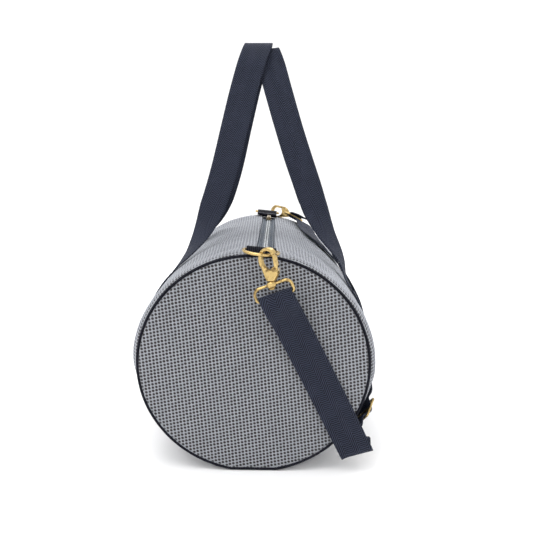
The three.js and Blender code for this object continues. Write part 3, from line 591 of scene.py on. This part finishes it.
# Beads along a path: a stitch's thread or a zip's coil, by the size that each bead gets.
def makeBeadTree():
    tree = bpy.data.node_groups.new("beadsAlongPath", "GeometryNodeTree")
    face = tree.interface
    face.new_socket("Geometry", in_out="INPUT", socket_type="NodeSocketGeometry")
    face.new_socket("Geometry", in_out="OUTPUT", socket_type="NodeSocketGeometry")
    for label, kind, value in (("Spacing", "Float", .003), ("Size", "Vector", (.001, .001, .001)),
                               ("Wander", "Float", .0), ("Seed", "Int", 7), ("Finish", "Material", None)):
        socket = face.new_socket(label, in_out="INPUT", socket_type=f"NodeSocket{kind}")
        if value is not None:
            socket.default_value = value
    add, join = tree.nodes.new, tree.links.new
    ins, outs = add("NodeGroupInput").outputs, add("NodeGroupOutput").inputs
    toCurve, resample = add("GeometryNodeMeshToCurve"), add("GeometryNodeResampleCurve")
    resample.mode = "LENGTH"
    join(ins["Geometry"], toCurve.inputs[0])
    join(toCurve.outputs[0], resample.inputs["Curve"])
    join(ins["Spacing"], resample.inputs["Length"])
    bead = add("GeometryNodeMeshUVSphere")
    bead.inputs["Segments"].default_value = 8
    bead.inputs["Rings"].default_value = 5
    bead.inputs["Radius"].default_value = .5
    tangent, turn = add("GeometryNodeInputTangent"), add("FunctionNodeAlignRotationToVector")
    turn.axis = "Z"
    join(tangent.outputs[0], turn.inputs["Vector"])
    wander = add("FunctionNodeRandomValue")
    wander.data_type = "FLOAT_VECTOR"
    for way, limit in zip((-1, 1), wander.inputs):
        scaled = add("ShaderNodeVectorMath")
        scaled.operation = "SCALE"
        scaled.inputs[0].default_value = (way, way, way)
        join(ins["Wander"], scaled.inputs["Scale"])
        join(scaled.outputs[0], limit)
    join(ins["Seed"], wander.inputs["Seed"])
    place, instance = add("GeometryNodeSetPosition"), add("GeometryNodeInstanceOnPoints")
    join(resample.outputs[0], place.inputs["Geometry"])
    join(wander.outputs[0], place.inputs["Offset"])
    join(place.outputs[0], instance.inputs["Points"])
    join(bead.outputs["Mesh"], instance.inputs["Instance"])
    join(turn.outputs[0], instance.inputs["Rotation"])
    join(ins["Size"], instance.inputs["Scale"])
    realize, smooth = add("GeometryNodeRealizeInstances"), add("GeometryNodeSetShadeSmooth")
    finish = add("GeometryNodeSetMaterial")
    join(instance.outputs[0], realize.inputs[0])
    join(realize.outputs[0], smooth.inputs["Geometry"])
    join(smooth.outputs[0], finish.inputs["Geometry"])
    join(ins["Finish"], finish.inputs["Material"])
    join(finish.outputs[0], outs["Geometry"])
    return tree


beadTree = makeBeadTree()


def setInputs(modifier, **values):
    for item in modifier.node_group.interface.items_tree:
        if item.in_out == "INPUT" and item.name in values:
            modifier[item.identifier] = values[item.name]


# Beads along one or several polylines, as one plain mesh.
def beads(name, paths, spacing, size, material, wander=0.0):
    points, edges = [], []
    for path in paths:
        start = len(points)
        points += [tuple(p) for p in path]
        edges += [(start + k, start + k + 1) for k in range(len(path) - 1)]
    mesh = bpy.data.meshes.new(name + "Line")
    mesh.from_pydata(points, edges, [])
    line = addObject(name + "Line", mesh)
    modifier = line.modifiers.new("beads", "NODES")
    modifier.node_group = beadTree
    setInputs(modifier, Spacing=spacing, Size=size, Wander=wander, Finish=material)
    plain = applied(line, name)
    if not plain.data.materials:
        plain.data.materials.append(material)
    return plain


stitch = {"spacing": .0034, "size": (.0006, .0006, .0030)}


def stitches(name, paths, body, material, spacing=None, size=None):
    made = beads(name, paths, spacing or stitch["spacing"], size or stitch["size"], material, .00006)
    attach(made, body)


# The barrel: every cloth piece lies on it.
barrel = {"halfLength": .220, "halfWidth": .135, "halfHeight": .130, "floorSag": .0025, "roll": 5.5,
          "bulge": .012, "cloth": .0025, "seamInset": .0015, "piping": .0022, "cord": .0016,
          "endCloth": .0022, "zipOpening": .021, "gap": .0003, "endFill": .735}
sectionCentre = barrel["halfHeight"] - barrel["floorSag"]
bodyHalf = barrel["halfLength"] - barrel["cord"] - barrel["gap"]


def smoothstep(value, low, high):
    t = np.clip((value - low) / (high - low), 0, 1)
    return t * t * (3 - 2 * t)


# A point round the barrel: degrees from the top, clockwise from the front, and a distance out of the cloth.
def barrelPoint(angle, y, offset, floor=0.0):
    away = abs((angle - barrel["roll"] + 180) % 360 - 180)
    swell = (1 - min(abs(y) / barrel["halfLength"], 1) ** 3) ** .6
    grown = offset + barrel["bulge"] * swell * smoothstep(away, 20, 95)
    turn = math.radians(angle)
    height = sectionCentre + (barrel["halfHeight"] + grown) * math.cos(turn)
    return np.array(((barrel["halfWidth"] + grown) * math.sin(turn), y, max(height, floor)))


# Creases that the pull of the handles leaves: [degrees, y] at both ends, height and half width.
creases = [
    [(-44, -.150), (-14, -.070), .0026, .013], [(-36, -.185), (-8, -.135), -.0018, .012],
    [(46, -.160), (18, -.085), .0024, .012], [(40, -.190), (16, -.150), -.0016, .011],
    [(-46, .150), (-16, .075), .0024, .013], [(50, .150), (20, .080), .0022, .012],
    [(-70, -.040), (-40, .015), .0014, .012], [(72, .030), (40, -.020), .0014, .012],
    [(96, -.195), (84, -.120), .0014, .010], [(-92, -.190), (-84, -.110), .0013, .010],
]
arcRadius = .137


def creaseHeight(angle, y):
    total = 0.0
    place = np.array((math.radians(angle) * arcRadius, y))
    for (angleA, yA), (angleB, yB), height, width in creases:
        a = np.array((math.radians(angleA) * arcRadius, yA))
        b = np.array((math.radians(angleB) * arcRadius, yB))
        share = np.clip((place - a).dot(b - a) / (b - a).dot(b - a), 0, 1)
        reach = np.linalg.norm(place - a - share * (b - a))
        total += height * math.exp(-(reach / width) ** 2) * math.sin(math.pi * (.15 + .7 * share))
    return total


# How far the cloth lies off the plain barrel: slack, gathers beside the seams, creases.
def clothRelief(angle, y):
    wrapped = (angle - barrel["roll"] + 180) % 360 - 180
    arc = math.radians(wrapped) * arcRadius
    fromSeam = bodyHalf - abs(y)
    broad = noise.noise(Vector((arc * 13, y * 11, 1.7))) * .0012
    small = noise.noise(Vector((arc * 34, y * 26, 5.1))) * .00045
    gather = noise.noise(Vector((arc * 95, y * 9 + 3, 9.3))) * .0009 * math.exp(-fromSeam / .016)
    tuck = -.0010 * math.exp(-fromSeam / .004)
    calm = smoothstep(abs(wrapped), 6, 16) * (1 - smoothstep(abs(wrapped), 150, 168))
    settled = smoothstep(fromSeam, 0, .012)
    puff = .0032 * math.sqrt(smoothstep(fromSeam, -.002, .013)) * (1 - smoothstep(fromSeam, .022, .065))
    puff *= smoothstep(abs(wrapped), 7, 14) * (1 - smoothstep(abs(wrapped), 88, 106))
    loose = broad + small + creaseHeight(wrapped + barrel["roll"], y)
    return loose * calm * settled + gather * calm + tuck * calm + puff


def makeBody():
    around, along, ease = 230, 120, math.pi / 2 * .94
    half = math.degrees(math.asin(barrel["zipOpening"] / 2 / (barrel["halfHeight"] - barrel["seamInset"])))
    angles = barrel["roll"] + half + (360 - 2 * half) * np.linspace(0, 1, around)
    places = bodyHalf * np.sin(np.linspace(-1, 1, along) * ease) / math.sin(ease)
    outer, inner = np.zeros((around, along, 3)), np.zeros((around, along, 3))
    uv = np.zeros((around, along, 2))
    fold = .0022
    for i, angle in enumerate(angles):
        fromZip = math.radians(min(i, around - 1 - i) * (360 - 2 * half) / (around - 1)) * arcRadius
        turned = fold - math.sqrt(max(fold ** 2 - max(fold - fromZip, 0) ** 2, 0))
        lip = .0006 * math.exp(-((fromZip - .003) / .002) ** 2)
        for j, y in enumerate(places):
            relief = clothRelief(angle, y) + lip
            outer[i, j] = barrelPoint(angle, y, relief - turned * .5 - barrel["seamInset"])
            inner[i, j] = barrelPoint(angle, y, min(relief, 0) - barrel["seamInset"] - barrel["cloth"],
                                      barrel["cloth"])
            uv[i, j] = (math.radians(angle) * arcRadius, y)
    body = shellObject("bodyCloth", outer, inner, uv, bodyClothLook)
    finishPiece(body, "root", "mesh_cloth", "body_panel")


def endOutline(offset, floor, count):
    return np.array([barrelPoint(360 * k / count, barrel["halfLength"], offset, floor) for k in range(count)])


# A round end cloth, held by its rim: a little crowned, with gathers towards the seam.
def makeEnd(end, side):
    rings, around = 46, 190
    inset = barrel["piping"] + barrel["cord"] + barrel["gap"]
    rim = endOutline(-inset, inset, around) * (1, 0, 1)
    centre = np.array((0, 0, sectionCentre))
    shares = np.linspace(0, 1, rings)[1:]
    flat = np.vstack([centre, [centre + (point - centre) * share for share in shares for point in rim]])
    layers = [flat, flat.copy()]
    seed = 20 + 7 * side
    for sign, layer in zip((1, -1), layers):
        for k, point in enumerate(layer):
            share = 0 if k == 0 else (1 + (k - 1) // around) / (rings - 1)
            crown = .0013 * (1 - share ** 2)
            wave = noise.noise(Vector((point[0] * 14, point[2] * 14, seed))) * .0005 * (1 - share ** 6)
            turn = math.atan2(point[0], point[2] - sectionCentre)
            gather = noise.noise(Vector((math.sin(turn) * 7, math.cos(turn) * 7, seed))) * .0004 * share ** 8
            out = barrel["endCloth"] / 2 * sign + crown + (wave + gather) * (share > 0)
            point[1] = side * (barrel["halfLength"] + out)
    count = len(layers[0])
    faces = []
    for start in (0, count):
        ring = [(start, start + 1 + (k + 1) % around, start + 1 + k) for k in range(around)]
        ring += [tuple(v + 1 for v in f) for f in gridFaces(rings - 1, around, start, closeColumns=True)]
        faces += ring
    last = count - around
    faces += [(last + k, last + (k + 1) % around, count + last + (k + 1) % around, count + last + k)
              for k in range(around)]
    points = np.vstack(layers)
    uvs = points[:, [0, 2]] * (-side, 1)
    panel = meshObject(f"{end}EndCloth", points, faces, endCloth, uvs)
    finishPiece(panel, "root", "mesh_cloth", f"{end}_end_panel")


def makePiping(end, side):
    ring = endOutline(-barrel["piping"], barrel["piping"], 260)
    ring[:, 1] = side * barrel["halfLength"]
    for k, point in enumerate(ring):
        turn = 2 * math.pi * k / len(ring)
        point[1] += noise.noise(Vector((math.sin(turn) * 5, math.cos(turn) * 5, side))) * .0005
    piping = wireObject(f"{end}Piping", ring, barrel["cord"], 12, pipingLook)
    finishPiece(piping, "root", "piping", f"{end}_piping")


makeBody()
for end, side in (("front", -1), ("rear", 1)):
    makeEnd(end, side)
    makePiping(end, side)
print("barrel cloth")

# Zip: two woven tapes, a nylon coil on each, metal stops.
zipSizes = {"tapeWidth": .015, "tape": .0009, "drop": .0016, "coilWidth": .0028, "coilHeight": .0022,
            "stop": .004, "stopInset": .034, "pitch": .00165}
zipBase = barrelPoint(barrel["roll"], 0, -barrel["seamInset"] - barrel["cloth"])
zipTurn = Matrix.Rotation(math.radians(barrel["roll"]), 4, "Y")
zipFrame = Matrix.Translation(Vector(zipBase)) @ zipTurn
tapeHalf = bodyHalf - .001
chainHalf = tapeHalf - zipSizes["stopInset"] - zipSizes["stop"]
coilHeight = -zipSizes["drop"] + barrel["gap"] + zipSizes["coilHeight"] / 2


def inFrame(matrix, points):
    turned = np.array(matrix.to_3x3())
    return np.asarray(points, float) @ turned.T + np.array(matrix.translation)


def makeTape(name, side):
    across, along = 13, 220
    xs = side * (.00015 + np.linspace(0, 1, across) * zipSizes["tapeWidth"])
    ys = np.linspace(-tapeHalf, tapeHalf, along)
    top = np.zeros((across, along, 3))
    uv = np.zeros((across, along, 2))
    for i, x in enumerate(xs):
        rib = .00022 * math.sin(min(i / 3, 1) * math.pi) - .0003 * smoothstep(abs(x), .008, .015)
        for j, y in enumerate(ys):
            wave = noise.noise(Vector((x * 30, y * 18, 4 + side))) * .00035 * smoothstep(abs(x), .003, .008)
            top[i, j] = (x, y, -zipSizes["drop"] + rib + wave)
            uv[i, j] = (x, y)
    bottom = top - (0, 0, zipSizes["tape"])
    tape = shellObject(f"{name}ZipTape", inFrame(zipFrame, top.reshape(-1, 3)).reshape(top.shape),
                       inFrame(zipFrame, bottom.reshape(-1, 3)).reshape(top.shape), uv, tapeLook)
    finishPiece(tape, "root", "zip_tape", f"{name}_zip_tape")
    height = .0003 - zipSizes["drop"]
    rows = [inFrame(zipFrame, [(side * x, y, height) for y in np.linspace(-tapeHalf, tapeHalf, 40)])
            for x in (.0038, .0088)]
    stitches(f"{name}TapeStitches", rows, "root", greyThread, .0026, (.0004, .0004, .0021))


def makeCoil(name, side):
    middle = side * zipSizes["coilWidth"] * .52
    half = chainHalf - .001
    shift = 0 if side == 1 else zipSizes["pitch"] / 2
    line = inFrame(zipFrame, [(middle, y + shift, coilHeight) for y in np.linspace(-half, half - .001, 12)])
    size = (zipSizes["coilWidth"] * .98, zipSizes["coilHeight"] * .92, zipSizes["pitch"] * .86)
    coil = beads(f"{name}ZipCoil", [line], zipSizes["pitch"], size, coilLook)
    finishPiece(coil, "root", "zip_coil", f"{name}_zip_coil")


for name, side in (("left", -1), ("right", 1)):
    makeTape(name, side)
    makeCoil(name, side)
print("zip")


# Hardware that keeps its designed shape: a welded copy with rounded edges.
def roundedCopy(node, name, body, slot, material, bevel, segments=3):
    source = frame["nodes"][node]
    mesh = source.data.copy()
    work = bmesh.new()
    work.from_mesh(mesh)
    bmesh.ops.remove_doubles(work, verts=work.verts, dist=2e-6)
    bmesh.ops.dissolve_limit(work, angle_limit=math.radians(1.5), verts=work.verts, edges=work.edges)
    work.to_mesh(mesh)
    work.free()
    mesh.materials.clear()
    mesh.materials.append(material)
    obj = addObject(name + "Raw", mesh)
    modifier = obj.modifiers.new("bevel", "BEVEL")
    modifier.width, modifier.segments = bevel, segments
    modifier.limit_method, modifier.angle_limit = "ANGLE", math.radians(28)
    modifier.use_clamp_overlap = True
    plain = applied(obj, name)
    plain.data.shade_smooth()
    finishPiece(plain, body, slot, node)


# Cast hardware: a designed part with its edges melted and smoothed.
def castPiece(node, name, voxel, rounds, material):
    work = bmesh.new()
    work.from_mesh(frame["nodes"][node].data)
    mesh = bpy.data.meshes.new(name)
    bmesh.ops.remove_doubles(work, verts=work.verts, dist=2e-6)
    work.to_mesh(mesh)
    work.free()
    obj = addObject(name + "Raw", mesh)
    remesh = obj.modifiers.new("remesh", "REMESH")
    remesh.mode, remesh.voxel_size = "VOXEL", voxel
    smooth = obj.modifiers.new("smooth", "SMOOTH")
    smooth.factor, smooth.iterations = .5, rounds
    plain = applied(obj, name)
    plain.data.materials.clear()
    plain.data.materials.append(material)
    plain.data.shade_smooth()
    return plain


for end in ("front", "rear"):
    roundedCopy(f"{end}_zip_stop", f"{end}ZipStop", "root", "brass", darkBrass, .0004)
    roundedCopy(f"{end}_gate_pin", f"{end}GatePin", f"{end}_hook", "brass", brass, .0002)
    roundedCopy(f"{end}_gate_spring", f"{end}GateSpring", f"{end}_hook", "spring", steel, .00003, 1)
    roundedCopy(f"{end}_hook_gate", f"{end}HookGate", f"{end}_gate", "brass", brass, .0007)
    hook = castPiece(f"{end}_hook", f"{end}Hook", .00038, 6, brass)
    finishPiece(hook, f"{end}_hook", "brass", f"{end}_hook")
roundedCopy("zip_slider", "zipSlider", "zip_slider", "brass", darkBrass, .0003)
roundedCopy("zip_pull", "zipPull", "zip_pull", "brass", darkBrass, .0003)
roundedCopy("strap_adjuster", "strapAdjuster", "root", "brass", brass, .0004)

# Bails: a bent wire through the swivel hub, with a rivet head under it.
bail = {"half": .0212, "wire": .0017, "drop": .0144, "topCorner": .0068, "footCorner": .0036,
        "hub": (.0098, .0066, .0072), "rivet": .0026}


def roundedLoop(half, top, bottom, topCorner, footCorner):
    path = []
    corners = [(half - topCorner, top - topCorner, topCorner, 0),
               (-half + topCorner, top - topCorner, topCorner, 1),
               (-half + footCorner, bottom + footCorner, footCorner, 2),
               (half - footCorner, bottom + footCorner, footCorner, 3)]
    for x, z, radius, quarter in corners:
        for turn in np.linspace(0, math.pi / 2, 10):
            angle = turn + quarter * math.pi / 2
            path.append((x + radius * math.cos(angle), 0, z + radius * math.sin(angle)))
    return evenly(np.array(path + path[:1]), .0007)[0][:-1]


def makeBail(end):
    origin, axis, up = bailFrame(end)
    matrix = Matrix(np.column_stack([axis, np.cross(up, axis), up]).tolist()).to_4x4()
    matrix.translation = Vector(origin)
    loop = roundedLoop(bail["half"], 0, -bail["drop"], bail["topCorner"], bail["footCorner"])
    wire = wireObject(f"{end}BailWire", inFrame(matrix, loop), bail["wire"], 14, brass)
    work = bmesh.new()
    bmesh.ops.create_cube(work, size=1, matrix=matrix @ Matrix.Diagonal((*bail["hub"], 1)))
    bmesh.ops.bevel(work, geom=work.edges[:], offset=.0018, segments=2, affect="EDGES", profile=.4)
    place = matrix @ Matrix.Translation((0, 0, -bail["hub"][2] / 2 - .0003))
    bmesh.ops.create_uvsphere(work, u_segments=20, v_segments=10, radius=bail["rivet"],
                              matrix=place @ Matrix.Diagonal((1, 1, .55, 1)))
    work.from_mesh(wire.data)
    bpy.data.objects.remove(wire)
    mesh = bpy.data.meshes.new(f"{end}HookBail")
    work.to_mesh(mesh)
    work.free()
    mesh.materials.append(brass)
    mesh.shade_smooth()
    finishPiece(addObject(f"{end}HookBail", mesh), "root", "brass", f"{end}_hook_bail")


# Rings and the webbing tabs that hold them.
ring = {"innerWidth": .035, "innerDepth": .019, "wire": .0035, "corner": .003, "tilt": 3}


def ringFrame(end):
    turn = Matrix.Rotation(math.radians(barrel["roll"]), 4, "Y")
    about = Matrix.Rotation(0 if end == "front" else math.pi, 4, "Z")
    return Matrix.Translation(Vector(joints[f"{end}_ring_swing"]["pos_m"])) @ turn @ about


def makeRing(end):
    half, corner = (ring["innerWidth"] + ring["wire"]) / 2, ring["corner"]
    bow = ring["innerDepth"] + ring["wire"] - corner
    path = [(x, 0, 0) for x in np.linspace(-half + corner, half - corner, 5)]
    path.append((half - corner * .3, -corner * .3, 0))
    for turn in np.linspace(0, math.pi, 17):
        path.append((half * math.cos(turn), -corner - bow * abs(math.sin(turn)) ** .8, 0))
    path.append((-half + corner * .3, -corner * .3, 0))
    smooth = splinePoints(path + path[:3], 240)
    smooth = evenly(smooth, .0009)[0]
    first = np.argmin(np.linalg.norm(smooth[-30:] - smooth[0], axis=1)) + len(smooth) - 30
    loop = smooth[:first]
    matrix = ringFrame(end) @ Matrix.Rotation(math.radians(ring["tilt"]), 4, "X")
    wire = wireObject(f"{end}Ring", inFrame(matrix, loop), ring["wire"] / 2, 18, brass)
    finishPiece(wire, f"{end}_ring", "brass", f"{end}_d_ring")


tab = {"width": .033, "length": .022, "thickness": .0016}


def makeTab(end):
    inside = ring["wire"] / 2 + barrel["gap"] + .0002
    loop = inside + tab["thickness"] / 2
    upper = -loop + tab["thickness"] + barrel["gap"]
    path = [(tab["length"], -loop), (tab["length"] * .5, -loop)]
    for k in range(7):
        turn = -math.pi / 2 - math.pi * k / 6
        path.append((loop * math.cos(turn), loop * math.sin(turn)))
    path += [(tab["length"] * .3, loop * .75), (tab["length"] * .55, upper + .0005), (tab["length"], upper)]
    points = splinePoints([(0, y, z) for y, z in path], 160)
    across = np.tile((1.0, 0, 0), (len(points), 1))
    points, across = evenly(points, .0008, across)
    matrix = ringFrame(end)
    turned = np.array(matrix.to_3x3())
    strip = stripObject(f"{end}RingTab", inFrame(matrix, points), across @ turned.T, tab["width"],
                        tab["thickness"], ribbedWebbing)
    finishPiece(strip, "root", "webbing", f"{end}_ring_tab")
    top = upper + tab["thickness"] / 2 + .0001
    near, far, side = tab["length"] * .66, tab["length"] - .002, tab["width"] / 2 - .003
    box = [(-side, near, top), (side, near, top), (side, far, top), (-side, far, top), (-side, near, top)]
    cross = [[(-side, near, top), (side, far, top)], [(side, near, top), (-side, far, top)]]
    rows = [inFrame(matrix, row) for row in [box, *cross]]
    stitches(f"{end}TabStitches", rows, "root", navyThread)


for end in ("front", "rear"):
    makeRing(end)
    makeTab(end)
print("hardware")

# Handles: one length of webbing each, sewn down both flanks.
handle = {"width": .038, "thickness": .0018, "angle": 56, "spread": .085, "drop": 30, "crease": .003,
          "hem": .001, "hemEnd": .0115}
sewnOffset = -barrel["seamInset"] + barrel["gap"] + handle["thickness"] / 2
# [x, y, z, twist in degrees] up one leg, then the top of the arch.
legs = {
    "left": {"side": -1, "apex": (.0008, 0, .5125), "leg": [
        (-.090, .084, .236, 15), (-.0707, .081, .2665, 45), (-.0578, .075, .2975, 69), (-.044, .065, .342, 74),
        (-.0295, .050, .403, 76), (-.0175, .037, .452, 80), (-.006, .0205, .493, 86)]},
    "right": {"side": 1, "apex": (.009, 0, .5055), "leg": [
        (.1105, .084, .230, 15), (.0892, .081, .2665, 45), (.077, .075, .293, 67), (.068, .069, .320, 72),
        (.0543, .060, .360, 76), (.041, .048, .402, 76), (.027, .032, .450, 80), (.017, .015, .485, 86)]},
}


def makeHandle(name, facts):
    side = facts["side"]
    angle = barrel["roll"] + side * handle["angle"]
    base = barrelPoint(angle, handle["spread"], sewnOffset + .0006)
    lean = math.radians(side * angle)
    rise = np.array((-side * math.cos(lean), 0, math.sin(lean)))
    top = barrel["roll"] + side * (handle["angle"] + math.degrees(handle["crease"] / barrel["halfWidth"]))
    near = []
    for share in np.linspace(1, 0, 9):
        point = barrelPoint(top + side * handle["drop"] * share, handle["spread"], sewnOffset)
        near.append((*point, 0))
    near += [(*(base + .0004 * rise), 0), (*(base + .012 * rise), 4)]
    near += facts["leg"]
    points, across = [], []
    for x, y, z, twist in near:
        turn = math.radians(twist)
        points.append((x, -y, z))
        across.append((-math.sin(turn), -side * math.cos(turn), 0))
    far = [((x, -y, z), (ax, -ay, 0)) for (x, y, z), (ax, ay, _) in zip(points, across)][::-1]
    points = points + [facts["apex"]] + [p for p, _ in far]
    across = across + [(-1.0, 0, 0)] + [a for _, a in far]
    smooth, sway = sampled(points, across, 24, .0028)
    length = pathLength(smooth)
    reach = np.linspace(0, length, len(smooth))
    hem = handle["hem"] * (1 - smoothstep(np.minimum(reach, length - reach), .010, .0125))
    _, acrossNow, face = stripFrame(smooth, sway)
    # the stitched face looks out of the barrel
    if face[3].dot(np.array((side, 0, .2))) <= 0:
        sway = -sway
        _, acrossNow, face = stripFrame(smooth, sway)
    strip = stripObject(f"{name}Handle", smooth, sway, handle["width"], handle["thickness"], webbing, hem)
    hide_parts(f"{name}_handle", f"{name}_handle_front_end", f"{name}_handle_rear_end")
    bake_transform(strip)
    sewn = math.radians(handle["drop"]) * barrel["halfWidth"]
    paths = []
    for flip in (False, True):
        line = smooth[::-1] if flip else smooth
        wide = acrossNow[::-1] if flip else acrossNow
        out = face[::-1] if flip else face
        def onFace(reachNow, offset):
            k = int(round(reachNow / length * (len(line) - 1)))
            rise = handle["hem"] if reachNow < handle["hemEnd"] else 0
            return line[k] + offset * wide[k] + (handle["thickness"] / 2 + rise + .0001) * out[k]
        low, high, edge = .004, sewn - .006, handle["width"] / 2 - .003
        steps = np.linspace(low, high, 26)
        paths.append([onFace(s, -edge) for s in steps] + [onFace(s, edge) for s in steps[::-1]]
                     + [onFace(low, -edge)])
        middleStart = sewn * .38
        paths.append([onFace(middleStart, x) for x in np.linspace(-edge, edge, 8)])
        for way in (edge, -edge):
            paths.append([onFace(middleStart + (high - middleStart) * t, way * (2 * t - 1))
                          for t in np.linspace(0, 1, 26)])
    stitches(f"{name}HandleStitches", paths, "root", navyThread)
    return length


handleLengths = {name: makeHandle(name, facts) for name, facts in legs.items()}
print("handles", handleLengths)

# Shoulder strap: both ends loop round the hooks' bars.
strap = {"width": .038, "thickness": .0018, "lean": 26.5, "run": .192, "lift": .0034, "layerGap": .0008,
         "wrap": .0041, "frontBailLean": 20, "rearPull": (-.78, .62, .2), "adjusterReach": .027,
         "adjusterSpan": .0268, "weave": .00355, "rise": .00395}
seamClear = barrel["halfLength"] + barrel["piping"] + .0022
# [degrees round the barrel, y]
flankRoute = [(126, -.212), (121, -.196), (116, -.176), (111, -.148), (106, -.110), (100, -.066), (82, -.018),
              (59, .028), (42, .064), (36, .104), (34, .146)]


def inPlane(degrees):
    return np.array((math.cos(math.radians(degrees)), 0, math.sin(math.radians(degrees))))


def rearPull():
    return unit(np.array(strap["rearPull"]))


def bailFrame(end):
    origin = np.array(joints[f"{end}_hook_swivel"]["pos_m"])
    if end == "front":
        lean = math.radians(strap["frontBailLean"])
        return origin, inPlane(strap["frontBailLean"]), np.array((-math.sin(lean), 0, math.cos(lean)))
    pull = rearPull()
    level = unit(np.cross(pull, (0, 0, 1)))
    wide = level * .93 + np.array((0, 0, -.36))
    return origin, unit(wide - wide.dot(pull) * pull), pull


# Stations round a bail's bar, from its back to its front.
def wrapStations(end, away):
    origin, axis, up = bailFrame(end)
    centre = origin - bail["drop"] * up
    heading = unit(away - away.dot(axis) * axis)
    outward = np.cross(heading, axis)
    stations = []
    for k in range(7):
        turn = math.pi * (1 - k / 6)
        point = centre + strap["wrap"] * (math.cos(turn) * outward - math.sin(turn) * heading)
        stations.append((point, axis))
    return centre, axis, heading, outward, stations


def makeStrap():
    down = np.array((math.sin(math.radians(strap["lean"])), 0, -math.cos(math.radians(strap["lean"]))))
    frontCentre, _, _, _, frontLoop = wrapStations("front", down)
    rearCentre, rearAxis, rearHeading, rearOutward, rearLoop = wrapStations("rear", -rearPull())
    across = inPlane(strap["lean"])

    def runPoint(length, y, direction=across):
        point = frontCentre + down * length
        return np.array((point[0], y, point[2])), direction

    innerY = -seamClear
    outerY = innerY - strap["thickness"] - strap["layerGap"]
    run, wrap, half = strap["run"], strap["wrap"], barrel["halfLength"]
    stations = [
        runPoint(run - .002, innerY), runPoint(run - .014, innerY), runPoint(run * .55, innerY),
        runPoint(.034, -seamClear - .007), runPoint(.012, frontCentre[1] + wrap), *frontLoop,
        runPoint(.012, frontCentre[1] - wrap), runPoint(.034, -seamClear - .013), runPoint(run * .55, outerY),
        runPoint(run - .014, outerY), runPoint(run, outerY, inPlane(25)),
        runPoint(run + .0150, outerY + .0002, inPlane(20)),
        runPoint(run + .0205, outerY + .0026, inPlane(15.5)),
        runPoint(run + .0140, outerY + .0056, inPlane(12)),
        (np.array((.1172, -half + .0010, .040)), inPlane(4)),
    ]
    lift = strap["lift"] - barrel["seamInset"]
    route = evenly(splinePoints([barrelPoint(a, y, lift, .003) for a, y in flankRoute], 900), .0045)[0]
    heading = unit(np.gradient(route, axis=0))
    reach = np.linspace(0, pathLength(route), len(route))
    for k, point in enumerate(route):
        normal = np.array((point[0] / barrel["halfWidth"] ** 2, 0,
                           (point[2] - sectionCentre) / barrel["halfHeight"] ** 2))
        normal = unit(normal - normal.dot(heading[k]) * heading[k])
        place = abs(reach[k] - strap["adjusterReach"]) / strap["adjusterSpan"]
        fade = 1 - smoothstep(place, .5, 1)
        weave = -fade if place > .5 else math.cos(2 * math.pi * place)
        past = strap["adjusterReach"] + strap["adjusterSpan"] / 2
        rise = strap["rise"] * (1 - smoothstep(reach[k], past, .090))
        stations.append((point + normal * (strap["weave"] * weave + rise), np.cross(heading[k], normal)))

    def rearPoint(length, side):
        return rearCentre + rearHeading * length + rearOutward * side * wrap, rearAxis

    stations += [rearPoint(.014, -1), *rearLoop, rearPoint(.014, 1)]
    points = np.array([p for p, _ in stations])
    sides = unit(np.array([a for _, a in stations]))
    smooth, sway = sampled(points, sides, 14, .0020)
    strip = stripObject("shoulderStrap", smooth, sway, strap["width"], strap["thickness"], webbing)
    finishPiece(strip, "root", "webbing", "shoulder_strap")
    return pathLength(smooth)


for end in ("front", "rear"):
    makeBail(end)
strapLength = makeStrap()
print("shoulder strap", strapLength)


def makeFloor():
    material, tree, shader, coords = newMaterial("paleFloor", Roughness=.7)
    link(tree, mixColour(tree, grainOf(tree, coords["Object"], 6.0), (.93, .93, .935, 1), (.96, .96, .96, 1)),
         shader["Base Color"])
    # flat in the middle, then curving up all round
    flat, bend, top, around = 3.0, 1.2, 2.5, 96
    profile = [(radius, 0) for radius in (.02, 1.0, 2.0, flat)]
    profile += [(flat + bend * math.sin(turn), bend - bend * math.cos(turn))
                for turn in np.linspace(.15, math.pi / 2, 12)]
    profile.append((flat + bend, top))
    turns = [2 * math.pi * k / around for k in range(around)]
    points = [(radius * math.sin(turn), radius * math.cos(turn), height)
              for radius, height in profile for turn in turns]
    faces = gridFaces(len(profile), around, closeColumns=True) + [tuple(range(around))]
    floor = meshObject("floor", points, faces, material, turnOut=False)


makeFloor()
